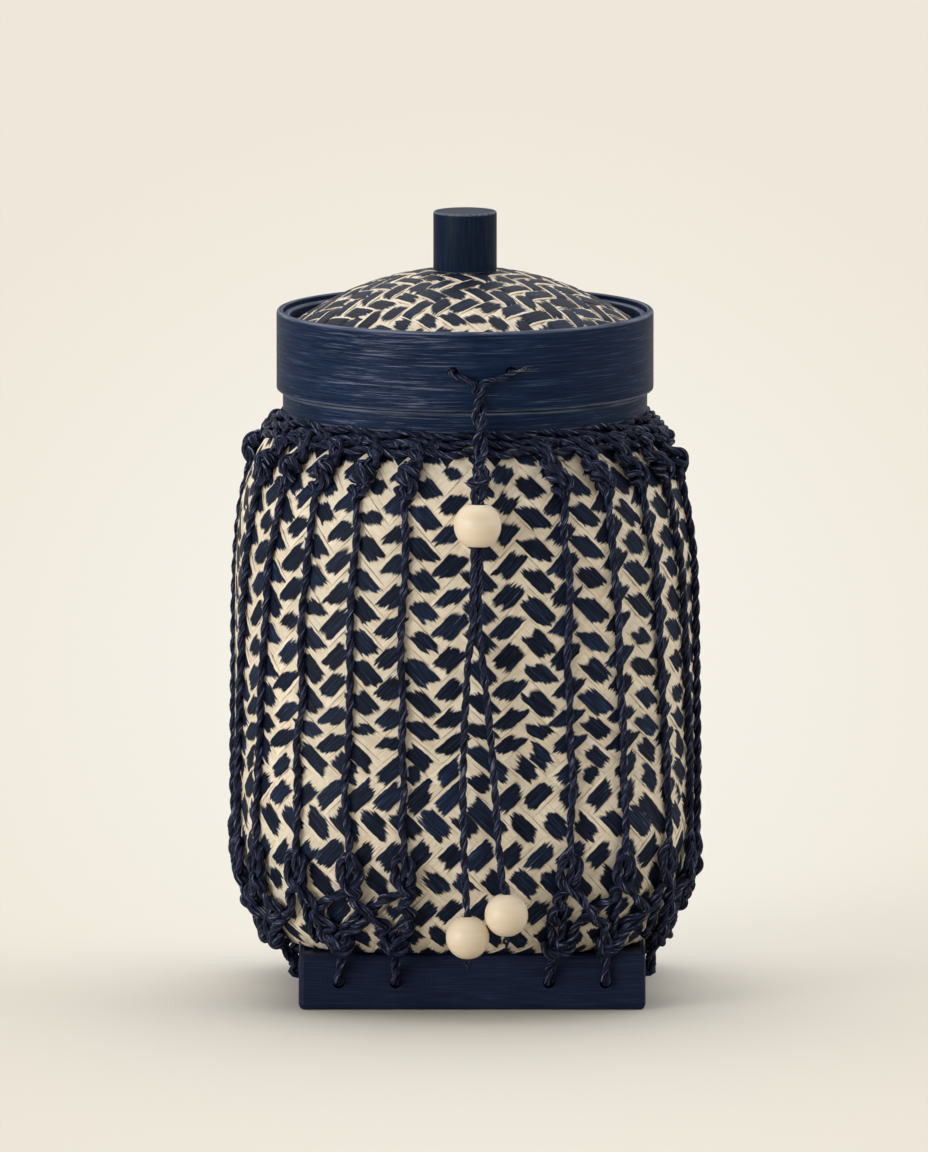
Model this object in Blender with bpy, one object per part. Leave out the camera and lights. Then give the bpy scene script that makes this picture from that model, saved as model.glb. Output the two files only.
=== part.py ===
"""Sticky rice basket: a square-footed woven bamboo basket in a knotted cord net, on a wooden base frame,
with a drum-shaped lid, a dowel knob and a closing cord with three wooden beads.

Units are metres and +Z is up. The front faces -Y. The origin is on the floor, under the basket's own axis.
Angles round the basket are counted from the front, positive towards +X."""

import math

import bmesh
import bpy
from mathutils import Vector

MM = 0.001

# Between pieces that touch on the real object
CLEARANCE = 0.3 * MM
SMOOTH_BELOW = math.radians(45.0)  # faces that meet at less than this are shaded as one surface

# Base frame of four slats
BASE_WIDTH = 98.6 * MM
BASE_HEIGHT = 16.0 * MM
BASE_SIDE_SHIFT = 2.0 * MM  # the basket sits this far left of the middle of its base
SLAT_THICKNESS = 8.0 * MM
SLAT_EDGE_ROUND = 1.5 * MM
BASE_HOLE_DIAMETER = 3.4 * MM
BASE_HOLE_HEIGHT = 7.9 * MM
FRONT_HOLE_INSETS = (11.4 * MM, 27.5 * MM)  # from the ends of the front and back slats
SIDE_HOLE_INSETS = (17.8 * MM, 32.3 * MM)  # from the base's corners, so that the knots inside clear each other

# Outer basket
FOOT_HALF_WIDTH = 48.0 * MM
BELLY_HALF_WIDTH = 65.4 * MM
BELLY_START = 43.7 * MM  # heights above the basket's own bottom
BELLY_END = 84.0 * MM
SHOULDER_END = 149.0 * MM
SHOULDER_POWER = 4.0  # how late the shoulder turns in, and how sharply it meets the neck
SHOULDER_BEND = 0.8
FOOT_SQUARENESS = 3.6  # exponent of the rounded square at the foot; 2 is a circle, which the mouth is
NECK_RADIUS = 48.7 * MM
MOUTH_HEIGHT = 16.0 * MM  # of the straight neck above the shoulder
WEAVE_THICKNESS = 1.2 * MM
BODY_SEGMENTS = 36
FOOT_TURNS = (0, 24, 46, 68, 90)  # degrees of the foot's rounding at which the wall has a ring
SHOULDER_SHARES = (0.0, 0.35, 0.6, 0.77, 0.88, 0.95, 0.985)  # and shares of the shoulder's height

# Lining basket
LINING_THICKNESS = 1.0 * MM
LINING_AIR_GAP = 2.6 * MM

# Hoops round the mouth
MOUTH_HOOP_THICKNESS = 0.6 * MM
MOUTH_HOOP_HEIGHT = 6.5 * MM
NECK_RING_THICKNESS = 2.9 * MM
NECK_RING_HEIGHT = 6.2 * MM
NECK_RING_EDGE = 0.7 * MM
HOOP_SEGMENTS = 40

# Lid
RIM_THICKNESS = 1.8 * MM
RIM_HEIGHT = 22.9 * MM
RIM_EDGE = 0.9 * MM
INNER_HOOP_THICKNESS = 1.7 * MM
INNER_HOOP_DROP = 1.3 * MM  # its top edge lies this far under the rim's
DOME_EDGE_DROP = 4.1 * MM  # where the dome turns into its skirt, under the rim's top
DOME_RISE = 15.6 * MM
DOME_THICKNESS = 1.2 * MM
DOME_SKIRT_HEIGHT = 4.5 * MM
DOME_EDGE_ROUND = 0.8 * MM
DOME_STEPS = 4
DOME_SEGMENTS = 40
DOME_LINING_THICKNESS = 1.0 * MM
KNOB_DIAMETER = 18.1 * MM
KNOB_HEIGHT = 16.9 * MM
KNOB_EDGE = 0.6 * MM
KNOB_SEGMENTS = 24
KNOB_WASHER_DIAMETER = 18.0 * MM
KNOB_WASHER_THICKNESS = 3.0 * MM
SCREW_SEGMENTS = 12
SCREW_DIAMETER = 3.0 * MM
SCREW_HEAD_DIAMETER = 6.4 * MM
SCREW_HEAD_HEIGHT = 2.0 * MM
SCREW_DEPTH_IN_KNOB = 9.0 * MM
RIM_HOLE_DIAMETER = 3.0 * MM
RIM_HOLE_DROP = 11.5 * MM  # under the rim's top
RIM_HOLE_SIDES = (-3.4 * MM, 13.0 * MM)

# Cord net: four groups of five cords, one group over each corner of the foot
CORD_DIAMETER = 2.4 * MM
NET_GROUPS = 4
CORDS_IN_GROUP = 5
NET_TURN = math.radians(5.0)  # the whole net sits turned this much on the basket
NET_SPACING = math.radians(12.4)
NECK_CORD_SEGMENTS = 28
NECK_CORD_SIDES = 6
NET_CORD_SIDES = 5
NECK_CORD_DROPS = (3.4 * MM, 5.9 * MM)  # where the two neck cords lie, under the shoulder's end
TOP_KNOT_RADIUS = 2.4 * MM
TOP_KNOT_HEIGHT = 9.5 * MM
LOW_KNOT_RADIUS = 2.3 * MM
LOW_KNOT_HEIGHT = 14.0 * MM
FOOT_KNOT_RADIUS = 2.1 * MM
FOOT_KNOT_HEIGHT = 6.0 * MM
STOPPER_RADIUS = 2.1 * MM
TOP_KNOT_DROP = 12.6 * MM  # of the top knots' middle, under the shoulder's end
LOW_KNOT_RISE = 23.5 * MM  # of the low knots' middle, above the basket's bottom
FOOT_KNOT_RISE = 5.0 * MM
LINK_REACH = 5.1 * MM  # how far a cord's two strands spread towards its neighbours' strands
OUTER_REACH = 2.8 * MM  # and how far on a side where no neighbour's strands meet them
STRAND_DIAMETER = 2.2 * MM

# Closing cord: hand-chosen routes, in millimetres
CORD_GAP = 0.2 * MM  # between its two strands where they run together
TWIN_ROUTE = (
    (3.9, -55.6, 180.2),
    (4.0, -55.6, 174.0),
    (4.3, -57.2, 166.5),
    (4.3, -60.1, 159.8),
    (4.0, -65.9, 153.6),
    (3.72, -70.82, 150.4),
    (3.69, -70.90, 148.8),
    (3.00, -72.65, 116.8),
    (2.93, -72.83, 113.5),
)
STRAIGHT_RUN = (6, 7)  # the points of TWIN_ROUTE between which the slider bead travels
TWIN_KNOT = 3  # the point of TWIN_ROUTE where the strands are knotted together
LEFT_ROUTE = ((0.9, -72.6, 103.0), (0.0, -72.3, 88.0), (-0.57, -72.0, 68.6), (-0.3, -71.9, 48.0), (0.4, -71.9, 33.0))
RIGHT_ROUTE = ((4.9, -72.6, 103.0), (6.6, -72.3, 88.0), (8.27, -72.0, 68.6), (9.5, -71.9, 50.0), (10.9, -71.9, 38.0))
LEFT_BEAD_CENTRE = (0.71, -71.9, 24.1)  # clear of the belly when the lid is lifted
RIGHT_BEAD_CENTRE = (11.7, -71.9, 30.5)
END_KNOT_RADIUS = 1.9 * MM
END_KNOT_HEIGHT = 4.0 * MM

# Beads
SLIDER_WIDTH = 13.5 * MM
SLIDER_HEIGHT = 12.0 * MM
SLIDER_DROP = 7.0 * MM  # of its middle, under the start of the straight run
END_BEAD_DIAMETER = 12.3 * MM
BEAD_SEGMENTS = 16
BEAD_STEPS = 5

# Heights and radii that follow
BASKET_BOTTOM = BASE_HEIGHT + CLEARANCE
SHOULDER_TOP = BASKET_BOTTOM + SHOULDER_END
MOUTH_TOP = SHOULDER_TOP + MOUTH_HEIGHT
NECK_RING_TOP = SHOULDER_TOP + NECK_RING_HEIGHT
NECK_RING_INNER = NECK_RADIUS + CLEARANCE
MOUTH_HOOP_RADIUS = NECK_RADIUS + CLEARANCE + MOUTH_HOOP_THICKNESS
INNER_HOOP_INNER = MOUTH_HOOP_RADIUS + CLEARANCE
INNER_HOOP_OUTER = INNER_HOOP_INNER + INNER_HOOP_THICKNESS
RIM_INNER = INNER_HOOP_OUTER + CLEARANCE
RIM_OUTER = RIM_INNER + RIM_THICKNESS
LID_BOTTOM = NECK_RING_TOP + CLEARANCE
RIM_TOP = LID_BOTTOM + RIM_HEIGHT
DOME_EDGE_RADIUS = INNER_HOOP_INNER - CLEARANCE
DOME_EDGE_TOP = RIM_TOP - DOME_EDGE_DROP
DOME_BOTTOM = DOME_EDGE_TOP - DOME_SKIRT_HEIGHT
DOME_SPAN = DOME_EDGE_RADIUS - DOME_EDGE_ROUND
DOME_BALL = (DOME_SPAN**2 + DOME_RISE**2) / (2 * DOME_RISE)
DOME_CENTRE = DOME_EDGE_TOP + DOME_RISE - DOME_BALL
SEAT_RADIUS = KNOB_DIAMETER / 2 + CLEARANCE
SCREW_HOLE_RADIUS = SCREW_DIAMETER / 2 + CLEARANCE
KNOB_BOTTOM = DOME_CENTRE + math.sqrt(DOME_BALL**2 - SEAT_RADIUS**2) + CLEARANCE
RIM_HOLE_HEIGHT = RIM_TOP - RIM_HOLE_DROP
CORD_RADIUS = CORD_DIAMETER / 2
CORD_LIFT = CORD_RADIUS + CLEARANCE  # of a cord's centre line over what it lies on
STRAND_RADIUS = STRAND_DIAMETER / 2


def material(name, colour, roughness, metallic=0.0):
    made = bpy.data.materials.new(name)
    made.use_nodes = True
    shader = made.node_tree.nodes["Principled BSDF"]
    shader.inputs["Base Color"].default_value = (*colour, 1.0)
    shader.inputs["Roughness"].default_value = roughness
    shader.inputs["Metallic"].default_value = metallic
    made.diffuse_color = (*colour, 1.0)
    return made


def new_object(name, data, parent, finish):
    made = bpy.data.objects.new(name, data)
    bpy.context.scene.collection.objects.link(made)
    made.parent = parent
    if finish:
        data.materials.append(finish)
    return made


def pivot(name, parent=None):
    """An empty on the basket's axis, for what moves as one. Its children's meshes hold world coordinates."""
    made = bpy.data.objects.new(name, None)
    bpy.context.scene.collection.objects.link(made)
    made.parent = parent
    return made


def mesh_from(bm, name):
    bmesh.ops.recalc_face_normals(bm, faces=bm.faces)
    mesh = bpy.data.meshes.new(name)
    bm.to_mesh(mesh)
    bm.free()
    mesh.shade_smooth()
    mesh.set_sharp_from_angle(angle=SMOOTH_BELOW)
    return mesh


def turned(name, profile, segments, parent, finish):
    """A solid turned about +Z from a list of (radius, height) points that goes once round its section."""
    bm = bmesh.new()
    corners = [bm.verts.new((radius, 0.0, height)) for radius, height in profile]
    ends = zip(corners, corners[1:] + corners[:1])
    edges = [bm.edges.new(pair) for pair in ends if pair[0].co.x + pair[1].co.x > 0.0]
    bmesh.ops.spin(
        bm, geom=edges, cent=(0.0, 0.0, 0.0), axis=(0.0, 0.0, 1.0), angle=math.tau, steps=segments, use_merge=True
    )
    bmesh.ops.remove_doubles(bm, verts=bm.verts, dist=1e-7)
    return new_object(name, mesh_from(bm, name), parent, finish)


def lofted(name, rings, parent, finish):
    """A solid through a list of rings of points, closed flat at its first and last ring."""
    bm = bmesh.new()
    made = [[bm.verts.new(point) for point in ring] for ring in rings]
    for below, above in zip(made, made[1:]):
        for i in range(len(below)):
            bm.faces.new((below[i - 1], below[i], above[i], above[i - 1]))
    bm.faces.new(made[0])
    bm.faces.new(made[-1])
    return new_object(name, mesh_from(bm, name), parent, finish)


def hide_helper(helper):
    helper.hide_render = True
    helper.display_type = "WIRE"


def cut(body, cutter):
    hide_helper(cutter)
    step = body.modifiers.new(f"cut_{cutter.name}", "BOOLEAN")
    step.operation = "DIFFERENCE"
    step.object = cutter


def join(body, addition):
    hide_helper(addition)
    step = body.modifiers.new(f"join_{addition.name}", "BOOLEAN")
    step.operation = "UNION"
    step.use_self = True
    step.object = addition


def drills(name, starts, direction, length, diameter, sides=12):
    """Round cutters along one direction, one from each start point, in one object."""
    bm = bmesh.new()
    turn = Vector((0.0, 0.0, 1.0)).rotation_difference(Vector(direction))
    for start in starts:
        made = bmesh.ops.create_cone(
            bm, cap_ends=True, segments=sides, radius1=diameter / 2, radius2=diameter / 2, depth=length
        )["verts"]
        bmesh.ops.translate(bm, verts=made, vec=(0.0, 0.0, length / 2))
        bmesh.ops.rotate(bm, verts=made, cent=(0.0, 0.0, 0.0), matrix=turn.to_matrix())
        bmesh.ops.translate(bm, verts=made, vec=start)
    return new_object(name, mesh_from(bm, name), None, None)


# The basket's outer surface

def body_half_width(height):
    """Half the outer basket's width across its faces, at a height above its own bottom."""
    if height < BELLY_START:
        share = 1.0 - height / BELLY_START
        return FOOT_HALF_WIDTH + (BELLY_HALF_WIDTH - FOOT_HALF_WIDTH) * math.sqrt(1.0 - share**2)
    if height < BELLY_END:
        return BELLY_HALF_WIDTH
    share = min((height - BELLY_END) / (SHOULDER_END - BELLY_END), 1.0)
    bulge = (1.0 - share**SHOULDER_POWER) ** SHOULDER_BEND
    return NECK_RADIUS + (BELLY_HALF_WIDTH - NECK_RADIUS) * bulge


def body_squareness(height):
    share = min(max(height / SHOULDER_END, 0.0), 1.0)
    return 2.0 + (FOOT_SQUARENESS - 2.0) * (1.0 - share)


def body_point(angle, height, inset=0.0):
    """A point of the surface, or of one that lies inset from it, at an angle from the front."""
    side, front = math.sin(angle), math.cos(angle)
    power = body_squareness(height)
    reach = (abs(side) ** power + abs(front) ** power) ** (-1.0 / power)
    reach *= body_half_width(height) - inset
    return Vector((reach * side, -reach * front, BASKET_BOTTOM + height))


def above_body(angle, height, lift):
    """A point lifted off the surface along its normal."""
    small_angle = math.radians(0.5)
    small_rise = 0.25 * MM
    across = body_point(angle + small_angle, height) - body_point(angle - small_angle, height)
    up = body_point(angle, height + small_rise) - body_point(angle, max(height - small_rise, 0.0))
    return body_point(angle, height) + across.cross(up).normalized() * lift


def body_rows():
    """Heights of the basket's rings: even turns round the foot, then closer together over the shoulder."""
    foot = [BELLY_START * (1.0 - math.cos(math.radians(turn))) for turn in FOOT_TURNS]
    return foot + [BELLY_END + (SHOULDER_END - BELLY_END) * share for share in SHOULDER_SHARES]


def wall_face(inset_at, floor, rows):
    """The rings of one face of a basket's wall, from its flat floor up to the mouth.
    floor is how far this face's floor lies above the outer basket's bottom."""
    angles = [math.tau * i / BODY_SEGMENTS for i in range(BODY_SEGMENTS)]
    rings = []
    for row in [*rows, SHOULDER_END]:
        rise = Vector((0.0, 0.0, floor * (1.0 - row / SHOULDER_END)))
        rings.append([body_point(angle, row, inset_at(row)) + rise for angle in angles])
    rings.append([Vector((point.x, point.y, MOUTH_TOP)) for point in rings[-1]])
    return rings


def shell(name, inset_at, thickness, floor, rows, parent, finish):
    """An open basket: an outer face, a turned lip at the mouth and an inner face."""
    outer = wall_face(inset_at, floor, rows)
    inner = wall_face(lambda row: inset_at(row) + thickness, floor + thickness, rows)
    return lofted(name, outer + inner[::-1], parent, finish)


def lining_inset(row):
    """The lining hangs from the mouth against the outer wall, and stands off it lower down."""
    return WEAVE_THICKNESS + CLEARANCE + LINING_AIR_GAP * (1.0 - (row / SHOULDER_END) ** 2)


def build_baskets(parent, weave, natural):
    rows = body_rows()
    shell("outer_basket", lambda row: 0.0, WEAVE_THICKNESS, 0.0, rows, parent, weave)
    floor = WEAVE_THICKNESS + LINING_AIR_GAP
    shell("lining_basket", lining_inset, LINING_THICKNESS, floor, rows[::2], parent, natural)


def build_mouth(parent, wood, natural):
    """The thin hoop that binds both walls at the mouth, and the ring round the neck under the lid."""
    hoop_bottom = MOUTH_TOP - MOUTH_HOOP_HEIGHT
    binding = [
        (NECK_RADIUS + CLEARANCE, hoop_bottom),
        (NECK_RADIUS + CLEARANCE, MOUTH_TOP),
        (MOUTH_HOOP_RADIUS, MOUTH_TOP),
        (MOUTH_HOOP_RADIUS, hoop_bottom),
    ]
    turned("mouth_hoop", binding, HOOP_SEGMENTS, parent, natural)
    outer = NECK_RING_INNER + NECK_RING_THICKNESS
    ring = hoop(NECK_RING_INNER, outer, SHOULDER_TOP, NECK_RING_TOP, NECK_RING_EDGE)
    turned("neck_ring", ring, HOOP_SEGMENTS, parent, wood)


# The base frame

def slat(name, centre, length, depth, along, outer_sides, parent, finish):
    """A slat with its outer edges eased. outer_sides says which ends and faces show."""
    size = Vector((length, depth, BASE_HEIGHT)) if along == "X" else Vector((depth, length, BASE_HEIGHT))
    bm = bmesh.new()
    bmesh.ops.create_cube(bm, size=1.0)
    bmesh.ops.scale(bm, vec=size, verts=bm.verts)
    bmesh.ops.translate(bm, vec=centre, verts=bm.verts)
    eased = []
    for edge in bm.edges:
        middle = (edge.verts[0].co + edge.verts[1].co) / 2 - centre
        for axis, sign in outer_sides:
            if abs(middle[axis] * sign - size[axis] / 2) < 1e-6:
                eased.append(edge)
                break
    bmesh.ops.bevel(bm, geom=eased, offset=SLAT_EDGE_ROUND, segments=2, affect="EDGES", profile=0.5)
    return new_object(name, mesh_from(bm, name), parent, finish)


def base_holes(side):
    """The outer ends of the cord holes in one side of the base: front, right, back or left."""
    outward = {"front": (0, -1), "right": (1, 0), "back": (0, 1), "left": (-1, 0)}[side]
    out = Vector((outward[0], outward[1], 0.0))
    along = Vector((-out.y, out.x, 0.0))
    centre = Vector((BASE_SIDE_SHIFT, 0.0, BASE_HOLE_HEIGHT)) + out * BASE_WIDTH / 2
    insets = FRONT_HOLE_INSETS if outward[0] == 0 else SIDE_HOLE_INSETS
    outer, inner = (BASE_WIDTH / 2 - inset for inset in insets)
    return out, [centre + along * offset for offset in (-outer, -inner, inner, outer)]


def build_base(parent, finish):
    middle = Vector((BASE_SIDE_SHIFT, 0.0, BASE_HEIGHT / 2))
    reach = (BASE_WIDTH - SLAT_THICKNESS) / 2
    side_length = BASE_WIDTH - 2 * (SLAT_THICKNESS + CLEARANCE)
    plans = {
        "front": (Vector((0, -reach, 0)), BASE_WIDTH, "X", ((1, -1), (0, 1), (0, -1))),
        "back": (Vector((0, reach, 0)), BASE_WIDTH, "X", ((1, 1), (0, 1), (0, -1))),
        "left": (Vector((-reach, 0, 0)), side_length, "Y", ((0, -1),)),
        "right": (Vector((reach, 0, 0)), side_length, "Y", ((0, 1),)),
    }
    for side, (offset, length, along, outer_sides) in plans.items():
        name = f"base_{side}_slat"
        made = slat(name, middle + offset, length, SLAT_THICKNESS, along, outer_sides, parent, finish)
        out, starts = base_holes(side)
        overrun = 1.0 * MM
        outside = [start + out * overrun for start in starts]
        length_cut = SLAT_THICKNESS + 2 * overrun
        cut(made, drills(f"{side}_holes", outside, -out, length_cut, BASE_HOLE_DIAMETER))


# Cords

def tube(name, points, radii, parent, finish):
    """A cord as a bevelled curve with filled caps, with a radius at each point."""
    curve = bpy.data.curves.new(name, "CURVE")
    curve.dimensions = "3D"
    curve.bevel_depth = CORD_RADIUS
    curve.bevel_resolution = 2
    curve.use_fill_caps = True
    spline = curve.splines.new("POLY")
    spline.points.add(len(points) - 1)
    for point, place, radius in zip(spline.points, points, radii):
        point.co = (*place, 1.0)
        point.radius = radius / CORD_RADIUS
    return new_object(name, curve, parent, finish)


def swept(name, points, radii, parent, finish):
    """A net cord as a closed mesh with a radius at each point, its rings carried along without twist."""
    rings = []
    across = None
    for i, (point, radius) in enumerate(zip(points, radii)):
        ahead = (points[min(i + 1, len(points) - 1)] - points[max(i - 1, 0)]).normalized()
        across = ahead.orthogonal() if across is None else across
        across = (across - ahead * across.dot(ahead)).normalized()
        other = ahead.cross(across)
        turns = [math.tau * k / NET_CORD_SIDES for k in range(NET_CORD_SIDES)]
        rings.append([point + (across * math.cos(turn) + other * math.sin(turn)) * radius for turn in turns])
    return lofted(name, rings, parent, finish)


def smooth_route(route, step):
    """Points about a step apart along a smooth curve through the route's own points."""
    ends = [2 * route[0] - route[1], *route, 2 * route[-1] - route[-2]]
    points = []
    for before, start, end, after in zip(ends, ends[1:], ends[2:], ends[3:]):
        count = max(1, round((end - start).length / step))
        for i in range(count):
            t = i / count
            points.append(
                0.5
                * (
                    2 * start
                    + (end - before) * t
                    + (2 * before - 5 * start + 4 * end - after) * t**2
                    + (3 * start - before - 3 * end + after) * t**3
                )
            )
    return points + [route[-1].copy()]


def knot_swell(middle, height, radius):
    """A knot on a cord as (height above the basket's bottom, radius of the lump) pairs, from its top down."""
    return [
        (middle + height * 0.5, CORD_RADIUS),
        (middle + height * 0.22, radius),
        (middle - height * 0.22, radius),
        (middle - height * 0.5, CORD_RADIUS),
    ]


def lying(angle, stations):
    """Centre points and radii of a cord that lies on the basket at (height, radius) stations."""
    points = [above_body(angle, height, radius + CLEARANCE) for height, radius in stations]
    return points, [radius for _, radius in stations]


def lateral(angle, height, offset):
    """The angle of a point that lies an offset to the side of a cord on the basket."""
    radius = body_point(angle, height).xy.length
    return angle + offset / radius


def tail_into_hole(out, hole):
    """A cord's way from above a hole's outer end, over its upper lip and in, to its stopper knot."""
    lip = hole + Vector((0.0, 0.0, BASE_HOLE_DIAMETER / 2))
    bend = CORD_RADIUS + CLEARANCE
    up = Vector((0.0, 0.0, 1.0))
    inside = lip - up * bend - out * (SLAT_THICKNESS + CLEARANCE)
    points = [
        lip + out * bend + up * CORD_RADIUS,
        lip + (out - up) * bend * 0.82,
        inside,
        inside - out * STOPPER_RADIUS * 0.7,
        inside - out * STOPPER_RADIUS * 1.7,
    ]
    radii = [CORD_RADIUS] * 3 + [STOPPER_RADIUS, STOPPER_RADIUS * 0.5]
    return points, radii


def hole_angle(hole):
    """The angle round the basket at which a hole lies."""
    return math.atan2(hole.x, -hole.y)


def group_holes(group):
    """For each cord of a corner group, the hole that its tail goes into. The corner cord has none."""
    sides = ("front", "right", "back", "left")
    first_out, first = base_holes(sides[group % NET_GROUPS])
    second_out, second = base_holes(sides[(group + 1) % NET_GROUPS])
    return [(first_out, first[2]), (first_out, first[3]), None, (second_out, second[0]), (second_out, second[1])]


def strand(name, angles, heights):
    """One of the two strands that a cord spreads into between its low knot and the foot."""
    points = [above_body(a, h, STRAND_RADIUS + CLEARANCE) for a, h in zip(angles, heights)]
    return swept(name, points, [STRAND_RADIUS] * len(points), None, None)


def net_cord(name, angle, foot_angle, hole, reaches, parent, finish):
    """One cord of the net: over the neck cords, top knot, straight fall, low knot, two spread strands,
    foot knot, and its tail into the base."""
    over_neck = CORD_DIAMETER + 2 * CLEARANCE + CORD_RADIUS
    upper, lower = (SHOULDER_END - drop for drop in NECK_CORD_DROPS)
    hitch_heights = (upper + 1.0 * MM, lower - 1.0 * MM)
    points = [above_body(angle, height, over_neck) for height in hitch_heights]
    radii = [CORD_RADIUS] * 2
    stations = knot_swell(SHOULDER_END - TOP_KNOT_DROP, TOP_KNOT_HEIGHT, TOP_KNOT_RADIUS)[1:]
    shoulder_start = stations[-1][0]
    shares = (0.75, 0.4, 0.0)
    stations += [(BELLY_END + (shoulder_start - BELLY_END) * share, CORD_RADIUS) for share in shares]
    stations.append((BELLY_START, CORD_RADIUS))
    stations += knot_swell(LOW_KNOT_RISE, LOW_KNOT_HEIGHT, LOW_KNOT_RADIUS)
    fallen, fallen_radii = lying(angle, stations)
    points += fallen
    radii += fallen_radii
    low_end = LOW_KNOT_RISE - LOW_KNOT_HEIGHT * 0.4
    if hole:
        out, start = hole
        foot = ((FOOT_KNOT_RISE + FOOT_KNOT_HEIGHT / 2, CORD_RADIUS), (FOOT_KNOT_RISE, FOOT_KNOT_RADIUS))
        foot_points, foot_radii = lying(foot_angle, foot)
        tail_points, tail_radii = tail_into_hole(out, start)
        points += foot_points + tail_points
        radii += foot_radii + tail_radii
    spine = swept(name, points, radii, parent, finish)
    mid = (low_end + FOOT_KNOT_RISE) / 2
    for side, reach in zip((-1.0, 1.0), reaches):
        if hole:
            heights = (low_end, mid, FOOT_KNOT_RISE)
            angles = (angle, lateral((angle + foot_angle) / 2, mid, side * reach), foot_angle)
        else:
            heights = (low_end, mid, FOOT_KNOT_RISE + 0.5 * MM)
            angles = (angle, angle + (reach - angle) * 0.6, reach)
        join(spine, strand(f"{name}_strand_{'left' if side < 0 else 'right'}", angles, heights))
    return spine


def build_net(parent, finish):
    for rank, drop in zip(("upper", "lower"), NECK_CORD_DROPS):
        count = NECK_CORD_SEGMENTS
        height = SHOULDER_END - drop
        centres = [above_body(math.tau * i / count, height, CORD_LIFT) for i in range(count)]
        radius = sum(p.xy.length for p in centres) / count
        turns = [math.tau * i / NECK_CORD_SIDES for i in range(NECK_CORD_SIDES)]
        ring = [(radius + CORD_RADIUS * math.cos(t), centres[0].z + CORD_RADIUS * math.sin(t)) for t in turns]
        turned(f"neck_cord_{rank}", ring, count, parent, finish)
    corners = ("front_right", "back_right", "back_left", "front_left")
    for group in range(NET_GROUPS):
        middle = math.radians(45.0 + 90.0 * group) + NET_TURN
        holes = group_holes(group)
        angles = [middle + (k - 2) * NET_SPACING for k in range(CORDS_IN_GROUP)]
        feet = []
        for angle, hole in zip(angles, holes):
            over = hole_angle(hole[1]) if hole else angle
            feet.append(angle + ((over - angle + math.pi) % math.tau - math.pi) * 0.7)
        for k, (angle, hole) in enumerate(zip(angles, holes)):
            if hole:
                inner = OUTER_REACH if k in (0, 3) else LINK_REACH
                outer = OUTER_REACH if k in (1, 4) else LINK_REACH
                reaches = (inner, outer)
            else:
                stop = FOOT_KNOT_RADIUS + STRAND_RADIUS + 2 * CLEARANCE
                reaches = (lateral(feet[k - 1], FOOT_KNOT_RISE, stop), lateral(feet[k + 1], FOOT_KNOT_RISE, -stop))
            net_cord(f"net_cord_{corners[group]}_{k + 1}", angle, feet[k], hole, reaches, parent, finish)


# The lid

def dome_height(radius, depth=0.0):
    """The height of the lid's ball-shaped sweep at a radius, or of a surface that lies a depth inside it."""
    return DOME_CENTRE + math.sqrt((DOME_BALL - depth) ** 2 - radius**2)


def dome_face(edge_radius, depth, steps):
    """One face of a woven cap, from its screw hole over a flat seat and a ball-shaped sweep down its skirt."""
    last = edge_radius - DOME_EDGE_ROUND
    radii = [SEAT_RADIUS + (last - SEAT_RADIUS) * i / steps for i in range(steps + 1)]
    sweep = [(radius, dome_height(radius, depth)) for radius in radii]
    skirt_top = sweep[-1][1] - DOME_EDGE_ROUND
    return [(SCREW_HOLE_RADIUS, sweep[0][1]), *sweep, (edge_radius, skirt_top), (edge_radius, DOME_BOTTOM)]


def dome_cap(name, depth, thickness, parent, finish):
    """A woven cap whose outer face lies a depth inside the lid's own surface."""
    outer = dome_face(DOME_EDGE_RADIUS - depth, depth, DOME_STEPS)
    inner = dome_face(DOME_EDGE_RADIUS - depth - thickness, depth + thickness, DOME_STEPS)
    turned(name, outer + inner[::-1], DOME_SEGMENTS, parent, finish)


def hoop(inner, outer, bottom, top, edge):
    """A hoop's section with its outer corners eased, and its top inner corner where it shows."""
    return [
        (inner, bottom),
        (inner, top - edge / 2),
        (inner + edge / 2, top),
        (outer - edge, top),
        (outer, top - edge),
        (outer, bottom + edge),
        (outer - edge, bottom),
    ]


def build_lid(parent, wood, weave, natural):
    rim = turned("lid_rim", hoop(RIM_INNER, RIM_OUTER, LID_BOTTOM, RIM_TOP, RIM_EDGE), HOOP_SEGMENTS, parent, wood)
    inner_top = RIM_TOP - INNER_HOOP_DROP
    section = [
        (INNER_HOOP_INNER, LID_BOTTOM),
        (INNER_HOOP_INNER, inner_top - INNER_HOOP_THICKNESS / 2),
        (INNER_HOOP_INNER + INNER_HOOP_THICKNESS / 2, inner_top),
        (INNER_HOOP_OUTER, inner_top),
        (INNER_HOOP_OUTER, LID_BOTTOM),
    ]
    inner_hoop = turned("lid_inner_hoop", section, HOOP_SEGMENTS, parent, wood)
    starts = [Vector((side, -RIM_OUTER - RIM_THICKNESS, RIM_HOLE_HEIGHT)) for side in RIM_HOLE_SIDES]
    depth = RIM_OUTER - INNER_HOOP_INNER + 4 * RIM_THICKNESS
    holes = drills("rim_holes", starts, (0.0, 1.0, 0.0), depth, RIM_HOLE_DIAMETER)
    cut(rim, holes)
    cut(inner_hoop, holes)
    dome_cap("lid_dome", 0.0, DOME_THICKNESS, parent, weave)
    dome_cap("lid_dome_lining", DOME_THICKNESS + CLEARANCE, DOME_LINING_THICKNESS, parent, natural)


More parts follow.
